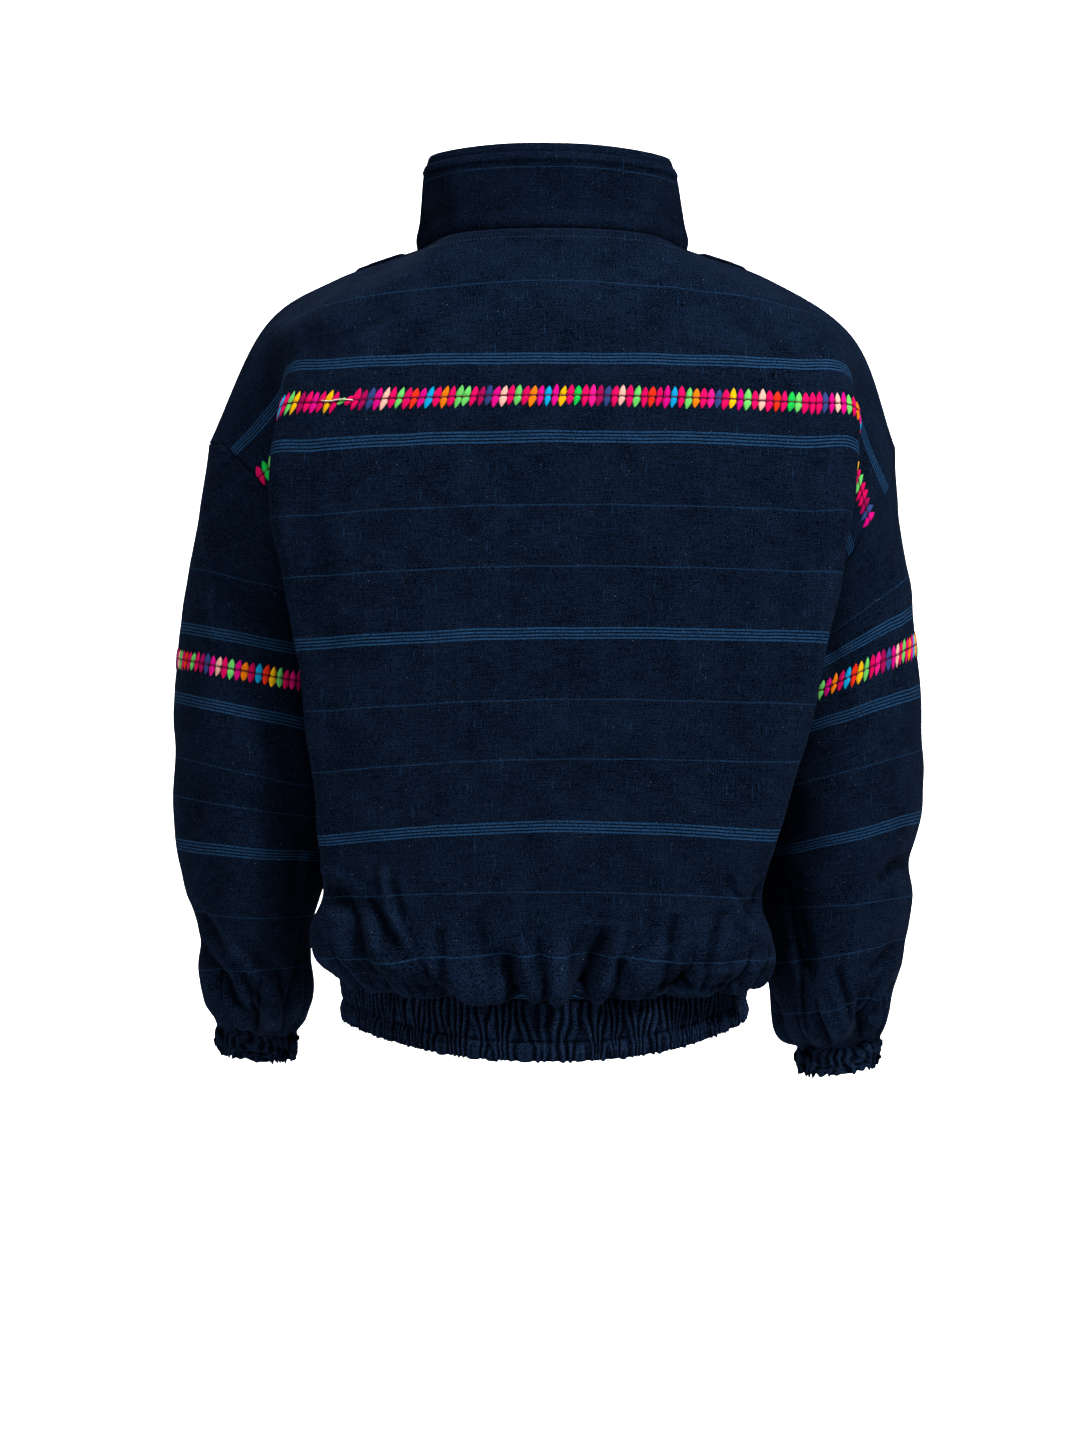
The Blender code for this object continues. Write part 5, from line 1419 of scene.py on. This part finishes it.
@functools.cache
def finishes():
    """The jacket's materials, made once from its settings."""
    settings = bpy.context.scene.jacket
    made = {"body": woven_cloth("handwoven_indigo", settings, BODY_BANDS, BODY_SINGLES)}
    for side in ("left", "right"):
        sections = jacket_form()["sections"][side]
        made["sleeve_" + side] = woven_cloth(
            "handwoven_indigo_sleeve_" + side, settings,
            [sections[index] for index in SLEEVE_BANDS[side]],
            [sections[index] for index in SLEEVE_SINGLES[side]])
    # The collar and its inner facing are darker copies of the same cloth: painted shade.
    made["collar"] = woven_cloth("handwoven_indigo_collar", settings, (), (COLLAR_SINGLE,), painted_shade=0.84)
    made["facing"] = woven_cloth("indigo_facing", settings, painted_shade=0.8)
    # The gathered bands' ridges are painted lighter still: rubbed pale indigo and a painted highlight.
    made["gathered"] = woven_cloth("indigo_gathered", settings, nap=0.6, ridge_rub_and_highlight=1.6)
    made["thread"] = embroidery_thread("embroidery_thread")
    made["stitch"] = plain_cloth("indigo_sewing_thread", settings.stitch_colour, 0.7, 0.0006)
    made["tape"] = plain_cloth("zip_tape_weave", (0.006, 0.009, 0.018), 0.85, 0.0011)
    made["teeth"] = zip_brass("aged_brass", (0.42, 0.33, 0.18), 0.38)
    made["slider"] = zip_brass("aged_brass_slider", (0.40, 0.31, 0.17), 0.32)
    return made


def panel_area(grid, ring=False):
    """The area of a grid's quads, in square metres: half the cross product of each quad's diagonals."""
    grid = closed(grid, ring)
    one, two = grid[1:, 1:] - grid[:-1, :-1], grid[1:, :-1] - grid[:-1, 1:]
    return float(np.linalg.norm(np.cross(one, two), axis=-1).sum() / 2)


class JacketSettings(bpy.types.PropertyGroup):
    """Sizes and colours of the jacket that a user would change."""

    cloth_thickness: FloatProperty(
        name="Cloth thickness", description="Thickness of one layer with its lining",
        default=CLOTH, min=0.001, max=0.003, unit="LENGTH")
    cloth_colour: FloatVectorProperty(
        name="Indigo", description="Colour of the handwoven cloth",
        default=(0.0040, 0.0088, 0.0215), subtype="COLOR", min=0, max=1)
    line_colour: FloatVectorProperty(
        name="Weft lines", description="Colour of the pale lines in the cloth",
        default=(0.0140, 0.0520, 0.1250), subtype="COLOR", min=0, max=1)
    stitch_colour: FloatVectorProperty(
        name="Sewing thread", description="Colour of the topstitching",
        default=(0.010, 0.022, 0.055), subtype="COLOR", min=0, max=1)
    cloth_gloss: FloatProperty(
        name="Gloss", description="How much the cloth mirrors light",
        default=0.0, min=0, max=1, subtype="FACTOR")
    sheen: FloatProperty(
        name="Nap", description="Light caught by the cloth's short fibres",
        default=0.02, min=0, max=1, subtype="FACTOR")
    gather_depth: FloatProperty(
        name="Gather depth", description="Depth of the gathers in the elastic bands",
        default=0.0036, min=0, max=0.005, unit="LENGTH")
    gathers: IntProperty(
        name="Gathers", description="Gathers round the waistband", default=174, min=20, max=200)
    motif_height: FloatProperty(
        name="Motif height", description="Height of the embroidered seam's motifs",
        default=0.0186, min=0.005, max=0.04, unit="LENGTH")


class JACKET_OT_body(bpy.types.Operator):
    """Makes the back in its two widths and the two fronts"""

    bl_idname = "jacket.body"
    bl_label = "Back and fronts"

    def execute(self, context):
        form, wall, cloth = jacket_form(), context.scene.jacket.cloth_thickness, finishes()["body"]
        back, (across, down), seam = form["body"]["back"], form["flat"]["back"], form["seam"]
        sides = {"top": HALF_GAP, "first": HALF_GAP, "last": HALF_GAP}
        for node, low, high, edges in (("back_upper", 0, seam, {"bottom": HALF_GAP, **sides}),
                                       ("back_lower", seam, len(down) - 1, sides)):
            places = across[low : high + 1], form["lines"][low : high + 1]
            dressed(node, back.length(low, high, **edges), places, (down[high] - down[low]) * MM, cloth,
                    wall=wall)
        for node in ("front_left", "front_right"):
            front = form["body"][node]
            front.pull_in(first=HALF_GAP, last=HALF_GAP, top=HALF_GAP)
            dressed(node, front.points, form["flat"][node], HEM * MM, cloth, wall=wall)
        return {"FINISHED"}


class JACKET_OT_sleeves(bpy.types.Operator):
    """Makes both sleeves, each in two lengths that join at the elbow"""

    bl_idname = "jacket.sleeves"
    bl_label = "Sleeves"

    def execute(self, context):
        form, wall = jacket_form(), context.scene.jacket.cloth_thickness
        for side, sleeve in form["sleeves"].items():
            across, down = form["flat"]["sleeve_" + side]
            elbow = ELBOW_RING * RINGS_BETWEEN
            for part, low, high, edges in (("upper", 0, elbow, {"bottom": HALF_GAP}),
                                           ("lower", elbow, len(down) - 1, {})):
                grid = sleeve.length(low, high, top=SLEEVE_GAP_SHARE, **edges)
                dressed(f"sleeve_{part}_{side}", grid, (across[low : high + 1], down[low : high + 1]),
                        (down[high] - down[low]) * MM, finishes()["sleeve_" + side], wall=wall, ring=True)
        return {"FINISHED"}


class JACKET_OT_collar(bpy.types.Operator):
    """Makes the collar's outer layer and the taller layer inside it"""

    bl_idname = "jacket.collar"
    bl_label = "Stand collar"

    def execute(self, context):
        inner_inset = COLLAR_INSET + COLLAR_WALL + COLLAR_LAYER_GAP
        for node, inset, wall, trim, rise, finish, slot in (
            ("collar_outer", COLLAR_INSET, COLLAR_WALL, ZIP_EDGE, 0.0, "collar", "navy_cotton"),
            ("collar_inner", inner_inset, CLOTH, INNER_COLLAR_EDGE, INNER_COLLAR_RISE, "facing",
             "navy_cotton_facing"),
        ):
            grid = collar_surface(jacket_form()["neckline"], inset, trim, rise)
            height = np.linalg.norm(grid[-1] - grid[0], axis=1).mean() / MM
            places = across_mm(grid, grid.shape[1] // 2), np.linspace(0, height, len(grid))
            dressed(node, grid, places, height * MM, finishes()[finish], wall)
        return {"FINISHED"}


def collar_surface(neckline, inset, trim, rise):
    """One layer of the collar: straight from its edge to the neck seam, rounded over at the edge,
    swelling a little above the seam and drawn in at the seam itself, with a slow pucker round it.

    The swellings are bells down the collar, and the pucker is the sum of two sines round it."""
    lines = collar_lines(neckline, inset, trim)
    top, base = lines[:, 0], lines[:, 1]
    height = np.linalg.norm(top - base, axis=1, keepdims=True)
    share = np.linspace(1, 0, COLLAR_ROWS)[:, None, None]
    grid = base + (top - base) * share * (1 + rise / height)
    spoke = unit(base - np.array([0, COLLAR_CENTRE_Y, 0])) * np.array([1, 1, 0])
    down = 1 - share[..., 0]
    swell = sum(out * np.exp(-(((down - middle) / half) ** 2)) for out, middle, half in COLLAR_SWELLS)
    around_neck = np.linspace(0, 1, grid.shape[1])[None, :]
    pucker = 0.35 * np.sin(around_neck * 71 + down * 2) + 0.5 * np.sin(around_neck * 23 + 1)
    pucker = pucker * np.sin(down * pi)
    return grid + spoke * ((swell + pucker) * MM)[..., None]


def gathered_surface(ring_at, turns, count, channels, depth):
    """A gathered band: between its rows of stitching the cloth puffs out, and gathers of uneven width
    run down it. A gather is a sharp groove between two round ridges: one less the square of a cosine.
    Slower sines round the band shift and weaken the gathers, so that some of them slant or meet."""
    down = np.linspace(0, 1, BAND_ROWS)
    rows, outs, depths = zip(*channels)
    out = np.interp(down, rows, outs)
    puff = np.sqrt(np.interp(down, rows, depths) / max(depths))
    stitch = rows[2]
    turn = turns[None, :] * 2 * pi
    share = down[:, None]
    slow, other, slant, below, ripple, weak, drift = (
        turn * max(2, round(count * part)) for part in BAND_BEATS)
    phase = turn * count + 1.5 * np.sin(slow + 1) + 1.1 * np.sin(other + 4)
    phase = phase + 2.7 * np.sin(slant + 2 * np.sin(drift)) * (share - 0.3) * 2.4
    phase = phase + 1.6 * np.sin(below + 2) * np.clip((share - stitch) * 12, 0, 1)
    phase = phase + 0.9 * np.sin(ripple + share * 9)
    wave = 1 - np.cos(phase / 2) ** 2
    uneven = 0.62 + 0.38 * np.sin(weak + share * 5) * np.sin(drift + share * 2)
    pinch = STITCH_PINCH * np.exp(-(((down - stitch) / 0.035) ** 2))
    lift = (out - pinch)[:, None] * MM + (wave - 0.5) * uneven * puff[:, None] * depth
    scallop = wave * uneven * EDGE_SCALLOP * MM * np.clip((share - 0.86) / 0.14, 0, 1)
    grid = np.stack([ring_at(lift[index], place) for index, place in enumerate(down)])
    grid[..., 2] -= scallop - scallop.mean(axis=1, keepdims=True)
    return grid




class JACKET_OT_bands(bpy.types.Operator):
    """Makes the gathered waistband and the two cuffs"""

    bl_idname = "jacket.bands"
    bl_label = "Waistband and cuffs"

    def execute(self, context):
        gathers, depth = context.scene.jacket.gathers, context.scene.jacket.gather_depth
        first = np.arcsin(ZIP_EDGE / BAND_LEFT_X)
        turns = np.linspace(0, 1, COLUMNS_A_GATHER * gathers + 1)
        waist_angles = np.linspace(-pi / 2 + first, 1.5 * pi - first, len(turns))[::-1]

        def waist(out, share):
            points = band_ring(waist_angles, out, share)
            points[[0, -1], 0] = np.sign(points[[0, -1], 0]) * ZIP_EDGE
            return points

        grid = gathered_surface(waist, turns, gathers, BAND_CHANNELS, depth)
        self.band("waistband", grid, BAND_HEIGHT, len(turns) // 2)
        turns = np.linspace(0, 1, COLUMNS_A_GATHER * CUFF_WAVES, endpoint=False)
        for side, cuff, sign in (("left", CUFF_LEFT, 1), ("right", CUFF_RIGHT, -1)):
            angles = np.linspace(0, 2 * pi, len(turns), endpoint=False)[:: -sign]

            def wrist(out, share):
                return cuff_ring(cuff, angles, sign, out, share * CUFF_HEIGHT)

            grid = gathered_surface(wrist, turns, CUFF_WAVES, CUFF_CHANNELS, depth)
            behind = normals_of(grid, ring=True)[..., 1]
            grid[..., 2] -= CUFF_SAG * MM * behind * np.linspace(*CUFF_SAG_SHARES, len(grid))[:, None]
            self.band("cuff_" + side, grid, CUFF_HEIGHT, 0, ring=True)
        return {"FINISHED"}

    def band(self, node, grid, height, start, ring=False):
        """The band as a piece, its columns measured from the column start."""
        places = across_mm(grid, start), np.linspace(0, height, len(grid)) / MM
        dressed(node, grid, places, height, finishes()["gathered"], ring=ring)


def line_steps(line):
    """The distance of each point of a line along it."""
    return np.concatenate([[0], np.cumsum(np.linalg.norm(np.diff(line, axis=0), axis=1))])


def along_line(line, at, carried=None):
    """What a line carries at distances along it, in metres: its own points, or other values."""
    along, carried = line_steps(line), line if carried is None else carried
    return np.stack([np.interp(at, along, part) for part in carried.T], axis=-1)


def sample(grid, row, column):
    """Values of a grid at rows and columns that may be fractions, by bilinear interpolation."""
    row = np.clip(row, 0, len(grid) - 1.001)
    column = np.clip(column, 0, grid.shape[1] - 1.001)
    top, left = row.astype(int), column.astype(int)
    low, right = (row - top)[..., None], (column - left)[..., None]
    upper = grid[top, left] * (1 - right) + grid[top, left + 1] * right
    lower = grid[top + 1, left] * (1 - right) + grid[top + 1, left + 1] * right
    return upper * (1 - low) + lower * low


def line_length(line):
    """The sum of the distances between a line's points."""
    return float(np.linalg.norm(np.diff(line, axis=0), axis=1).sum())


def motif_band(name, panel, seam_row, down, height, order, first_colour, worn=None):
    """The embroidered motifs along a seam. Each is two pointed leaves that meet at the seam.

    Along a leaf from seam to tip, its half width grows quickly from a pinched waist and then tapers
    to a point, its middle leans to one side by a power of the way, and its height is a dome."""
    surface_points, surface_normals = closed(panel.points, panel.ring), closed(panel.normals, panel.ring)
    seam = surface_points[seam_row]
    total = line_length(seam)
    count = int(round(total / (MOTIF_PITCH * MM)))
    pitch = total / count
    jitter = np.random.default_rng(MOTIF_SEED + count).uniform(-1, 1, (5, count, 2))
    wider, longer, leaning, higher, tint = jitter[..., None, None]
    t = np.linspace(0, 1, LEAF_STEPS + 1)[:, None]
    a = np.linspace(-1, 1, LEAF_STEPS + 1)[None, :]
    opening = 0.72 + 0.42 * np.sin(np.clip(t / 0.40, 0, 1) * pi / 2)
    half = MOTIF_HALF_WIDTH * opening * (1 - t**1.6) ** 0.75 + 0.05
    reach = height / 2 * (1 + 0.10 * longer)
    middles = (np.arange(count) + 0.5) * pitch
    if worn is not None:
        start = int(np.argmin(np.abs(along_line(seam, middles)[:, 0] - worn * MM)))
        reach[start : start + 2] *= np.array(WORN_REACH)[:, None, None, None]
    side = np.array([-1.0, 1.0])[None, :, None, None]
    x = a * half * (1 + 0.12 * wider) + side * MOTIF_LEAN * (1 + 0.35 * leaning) * t**1.3
    dome = np.sqrt(np.clip(1 - a**2, 0, 1)) * (0.40 + 0.60 * np.sin(np.clip(t + 0.16, 0, 1) * pi) ** 0.6)
    lift = MOTIF_HEIGHT * dome * (1 + 0.15 * higher) + 0.10
    at = np.clip(middles[:, None, None, None] + x * MM, 0, total)
    away = side * t * reach + 0 * x
    column = np.interp(at, line_steps(seam), np.arange(len(seam)))
    row = np.interp(down[seam_row] + away / MM, down, np.arange(len(down)))
    out = unit(sample(surface_normals, row, column))
    points = sample(surface_points, row, column) + out * (lift * MM)[..., None]
    index = np.arange((LEAF_STEPS + 1) ** 2).reshape(LEAF_STEPS + 1, LEAF_STEPS + 1)
    rim = np.concatenate([index[0], index[1:, -1], index[-1, -2::-1], index[-2:0:-1, 0]])
    quads = grid_faces(LEAF_STEPS + 1, LEAF_STEPS + 1)
    faces = []
    for start in np.arange(count) * 2 * index.size:
        faces += [*(quads[:, ::-1] + start), rim + start]
        start = start + index.size
        faces += [*(quads + start), rim[::-1] + start]
    strand = np.stack(np.broadcast_arrays(x * MM, np.abs(away)), axis=-1)
    made = mesh_piece(name, points, faces, finishes()["thread"], [("strand", strand)])
    letters = [order[(first_colour - number) % len(order)] for number in range(count)]
    colours = np.array([THREADS[letter] for letter in letters]) * (1 + 0.10 * tint[:, 0, 0])
    put_colours(made, np.repeat(colours, 2 * index.size, axis=0))
    return made




def put_colours(piece, colours):
    """Gives each point of a piece the thread colour that it carries."""
    layer = piece.data.color_attributes.new("thread", "FLOAT_COLOR", "POINT")
    layer.data.foreach_set("color", np.column_stack([colours, np.ones(len(colours))]).ravel())


def rods(name, centre, direction, out, radius, along, sides, material, layer):
    """Round rods, each a circle carried along a line of points, square to the line's direction.

    centre, direction and out hold rods x steps x 3, radius and along give each step's radius and its length
    along the rod, and the layer of coordinates gives the place round and along it."""
    count, steps = centre.shape[:2]
    angle = np.linspace(0, 2 * pi, sides, endpoint=False)
    beside = np.cross(direction, out)
    circle = out[:, :, None] * np.cos(angle)[:, None] + beside[:, :, None] * np.sin(angle)[:, None]
    points = centre[:, :, None] + circle * radius[:, None, None]
    quads = grid_faces(steps, sides, ring=True)[:, ::-1]
    ends = (np.arange(sides), np.arange(sides)[::-1] + (steps - 1) * sides)
    faces = []
    for start in np.arange(count) * steps * sides:
        faces += [*(quads + start), ends[0] + start, ends[1] + start]
    round_and_along = np.broadcast_arrays(angle * radius.max(), along[:, None] + 0 * angle)
    strand = np.broadcast_to(np.stack(round_and_along, axis=-1), (count, steps, sides, 2))
    return mesh_piece(name, points, faces, material, [(layer, strand)])


def cord_along(name, line, normals, radius, colour):
    """A round thread of one colour along a line of points."""
    direction = unit(np.gradient(line, axis=0))
    out = unit(normals - direction * (normals * direction).sum(axis=1, keepdims=True))
    radii = np.full(len(line), radius)
    made = rods(name, line[None], direction[None], out[None], radii, line_steps(line), CORD_SIDES,
                finishes()["thread"], "strand")
    put_colours(made, np.tile(colour, (len(line) * CORD_SIDES, 1)))
    thread_on(made)


def stitch_row(name, line, normals):
    """A row of topstitching: short threads, each a bulged rod that dips into the cloth at its ends.

    Along a stitch the radius is the root of one less the square, and the dip grows as the square."""
    total = line_length(line)
    count = int(total / (STITCH_PITCH * MM))
    middles = (np.arange(count) + 0.5) * total / count
    t = np.linspace(-1, 1, 5)
    at = middles[:, None] + t[None, :] * STITCH_LENGTH / 2 * MM
    out = unit(along_line(line, at, normals))
    centre = along_line(line, at)
    direction = unit(np.gradient(centre, axis=1))
    centre = centre + out * ((STITCH_RISE - STITCH_DIP * t**2)[None, :, None] * MM)
    radii = np.sqrt(np.clip(1 - t**2, 0.04, 1)) * STITCH_RADIUS * MM
    made = rods(name, centre, direction, out, radii, 0 * t, STITCH_SIDES, finishes()["stitch"], "cloth")
    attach(made, "jacket")


class JACKET_OT_embroidery(bpy.types.Operator):
    """Makes the embroidered joining seams over the back and round both sleeves"""

    bl_idname = "jacket.embroidery"
    bl_label = "Embroidered seams"

    def execute(self, context):
        form, height = jacket_form(), context.scene.jacket.motif_height
        back = form["body"]["back"]
        self.sew("back", back, form["seam"], form["rows"], height, BACK_ORDER, BACK_FIRST, WORN_AT)
        for side, sleeve in form["sleeves"].items():
            down = form["flat"]["sleeve_" + side][1]
            self.sew(side, sleeve, ELBOW_RING * RINGS_BETWEEN, down, height, SLEEVE_ORDER,
                     SLEEVE_FIRST[side])
        self.loose_thread(back, form["seam"])
        return {"FINISHED"}

    def sew(self, label, panel, seam_row, down, height, order, first_colour, worn=None):
        """One band of motifs over a panel's seam row, and the dark thread that runs along its middle."""
        made = motif_band("embroidery_" + label, panel, seam_row, down, height, order, first_colour, worn)
        thread_on(made, "seam_band_" + label)
        seam = closed(panel.points, panel.ring)[seam_row]
        at = np.linspace(0, line_length(seam), int(line_length(seam) / (CENTRE_THREAD_STEP * MM)))
        line = along_line(seam, at)
        out = unit(along_line(seam, at, closed(panel.normals, panel.ring)[seam_row]))
        waver = (0.25 * np.sin(at / MM * 1.3) + 0.2 * np.sin(at / MM * 0.37 + 2))[:, None] * MM
        beside = np.cross(out, unit(np.gradient(line, axis=0)))
        line = line + out * CENTRE_THREAD_LIFT * MM + beside * waver
        cord_along("centre_thread_" + label, line, out, CENTRE_THREAD_RADIUS * MM, CENTRE_THREAD)

    def loose_thread(self, back, row):
        """The worn place on the back, where one pale thread has come loose."""
        column = int(np.argmin(np.abs(back.points[row, :, 0] - WORN_AT * MM)))
        steps, lift, rise = np.array(LOOSE_THREAD).T
        steps = steps.astype(int) + column
        line = back.points[row, steps] + back.normals[row, steps] * (lift[:, None] * MM)
        line[:, 2] += rise * MM
        line = smooth_through(np.arange(4), line, np.linspace(0, 3, 25))
        normals = np.repeat(back.normals[row, column][None], len(line), axis=0)
        cord_along("loose_thread", line, normals, LOOSE_THREAD_RADIUS * MM, CREAM_THREAD)


class JACKET_OT_stitching(bpy.types.Operator):
    """Makes the rows of topstitching: below the collar and beside the zip"""

    bl_idname = "jacket.stitching"
    bl_label = "Topstitching"

    def execute(self, context):
        form = jacket_form()
        back = form["body"]["back"]
        row = int(np.argmin(np.abs(form["rows"] - NECK_STITCHES)))
        neck = sum(COLUMNS_BETWEEN[:2]) + 4
        middle = back.points.shape[1] // 2
        for label, panel, place in (
            ("neck", back, np.s_[row, middle - neck : middle + neck + 1]),
            ("front_left", form["body"]["front_left"], np.s_[2:-3, -4]),
            ("front_right", form["body"]["front_right"], np.s_[2:-3, 3]),
        ):
            stitch_row("stitches_" + label, panel.points[place], panel.normals[place])
        return {"FINISHED"}


def beside_zip(path, at):
    """Points at distances along the zip's line, its direction there and the way in, all as y and z."""
    centre = along_line(path, at)
    direction = unit(np.gradient(centre, axis=0))
    inward = np.stack([-direction[:, 1], direction[:, 0]], axis=1)
    return centre, direction, inward * np.sign(inward[:, :1])


def with_x(x, flat):
    """Points from their x and their y and z."""
    return np.concatenate([np.broadcast_to(x, flat.shape[:-1])[..., None], flat], axis=-1)


class JACKET_OT_zip(bpy.types.Operator):
    """Makes the zip's teeth and tapes, and gives its slider and pull their metal"""

    bl_idname = "jacket.zip"
    bl_label = "Zip"

    def execute(self, context):
        path = jacket_form()["zip"]
        self.teeth(path)
        for side, sign in (("left", 1), ("right", -1)):
            self.tape(side, sign, path)
        for node in ("zip_slider", "zip_pull"):
            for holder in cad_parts[node].material_slots:
                holder.material = finishes()["slider"]
        return {"FINISHED"}

    def teeth(self, path):
        """Two rows of teeth that interlock: each is a block with a cut-back top, set to its own side."""
        count = int(line_length(path) / (TOOTH_PITCH * MM))
        at = (np.arange(count) + 0.5) * line_length(path) / count
        centre, direction, inward = beside_zip(path, at)
        lean = np.where(np.arange(count) % 2 == 0, TOOTH_LEAN, -TOOTH_LEAN)
        x, along, depth = np.array(TOOTH).T
        flat = centre[:, None] + direction[:, None] * along[None, :, None] * MM
        flat = flat + inward[:, None] * depth[None, :, None] * MM
        points = with_x((x[None, :] + lean[:, None]) * MM, flat)
        first = (np.arange(count) * len(TOOTH))[:, None, None]
        faces = (np.array(TOOTH_FACES)[None] + first).reshape(-1, 4)
        made = mesh_piece("zip_teeth", points, faces, finishes()["teeth"], smooth=False)
        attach(made, "jacket")
        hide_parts("zip_chain")

    def tape(self, side, sign, path):
        """A woven tape beside the teeth, with a rounded cord along its inner edge."""
        length = line_length(path)
        centre, _, inward = beside_zip(path, np.linspace(0, length, TAPE_ROWS))
        x, raised = np.array(TAPE_SECTION).T
        flat = centre[:, None] + inward[:, None] * (TAPE_DEPTH - raised * MM)[None, :, None]
        grid = with_x(sign * x * MM, flat)
        if sign > 0:
            grid, x = grid[:, ::-1], x[::-1]
        places = np.broadcast_to(x, grid.shape[:2]), np.linspace(0, length, len(grid)) / MM
        dressed("zip_tape_" + side, grid, places, length, finishes()["tape"], wall=TAPE_WALL,
                name="zip_tape_cloth_" + side)


class JACKET_OT_stage(bpy.types.Operator):
    """Makes the pale floor and backdrop, the studio lights and the camera"""

    bl_idname = "jacket.stage"
    bl_label = "Studio stage"

    def execute(self, context):
        self.sweep()
        self.lights()
        data = bpy.data.cameras.new("camera")
        data.lens = CAMERA_LENS
        data.sensor_width = CAMERA_SENSOR
        data.clip_end = 30
        camera = bpy.data.objects.new("camera", data)
        camera.location = CAMERA_PLACE
        camera.rotation_euler = (pi / 2, 0, pi)
        context.collection.objects.link(camera)
        context.scene.camera = camera
        context.scene.view_settings.view_transform = "Standard"
        context.scene.view_settings.look = "None"
        return {"FINISHED"}

    def sweep(self):
        """A floor that curves up behind into a wall: a straight, a quarter circle and a straight."""
        angle = np.linspace(0, pi / 2, 24)
        curve_y, wall_y = FLOOR_FAR - FLOOR_CURVE * np.sin(angle), FLOOR_FAR - FLOOR_CURVE
        y = np.concatenate([[FLOOR_NEAR], curve_y, [wall_y]])
        z = FLOOR_Z + np.concatenate([[0.0], FLOOR_CURVE * (1 - np.cos(angle)), [WALL_HEIGHT]])
        x = np.array([-FLOOR_HALF_WIDTH, FLOOR_HALF_WIDTH])
        grid = np.stack(np.broadcast_arrays(x, y[:, None], z[:, None]), axis=-1)
        finish = Finish("pale_sweep", roughness=0.9, specular_ior_level=0.1)
        finish.surface("Base Color", FLOOR_COLOUR)
        floor = mesh_piece("floor", grid, grid_faces(len(y), 2)[:, ::-1], finish.material)

    def lights(self):
        """Large soft lights: one from each side of the camera, one above, one in front and one for the
        backdrop."""
        for light in LIGHTS:
            data = bpy.data.lights.new(light.name, "AREA")
            data.size = light.size
            data.energy = light.power
            data.spread = light.spread * pi / 180
            made = bpy.data.objects.new(light.name, data)
            made.location = light.place
            aim = Vector(light.aim) - Vector(light.place)
            made.rotation_euler = aim.to_track_quat("-Z", "Y").to_euler()
            bpy.context.collection.objects.link(made)
        world = bpy.data.worlds.new("studio")
        world.use_nodes = True
        background = world.node_tree.nodes["Background"]
        background.inputs["Color"].default_value = (1, 1, 1, 1)
        background.inputs["Strength"].default_value = WORLD_STRENGTH
        bpy.context.scene.world = world


STEPS = (JACKET_OT_body, JACKET_OT_sleeves, JACKET_OT_collar, JACKET_OT_bands, JACKET_OT_embroidery,
         JACKET_OT_stitching, JACKET_OT_zip, JACKET_OT_stage)


class JACKET_PT_panel(bpy.types.Panel):
    """The jacket's sizes and the steps that build it"""

    bl_label = "Jacket"
    bl_idname = "JACKET_PT_panel"
    bl_space_type = "VIEW_3D"
    bl_region_type = "UI"
    bl_category = "Jacket"

    def draw(self, context):
        settings = context.scene.jacket
        for name in JacketSettings.__annotations__:
            self.layout.prop(settings, name)
        for step in STEPS:
            self.layout.operator(step.bl_idname)


CLASSES = (JacketSettings, *STEPS, JACKET_PT_panel)


def register():
    """Makes the classes known to Blender and gives each scene its settings."""
    for kind in CLASSES:
        bpy.utils.register_class(kind)
    bpy.types.Scene.jacket = PointerProperty(type=JacketSettings)


def unregister():
    """Takes them away again."""
    del bpy.types.Scene.jacket
    for kind in reversed(CLASSES):
        bpy.utils.unregister_class(kind)


def main():
    register()
    for step in STEPS:
        group, name = step.bl_idname.split(".")
        getattr(getattr(bpy.ops, group), name)()


if __name__ == "__main__":
    main()
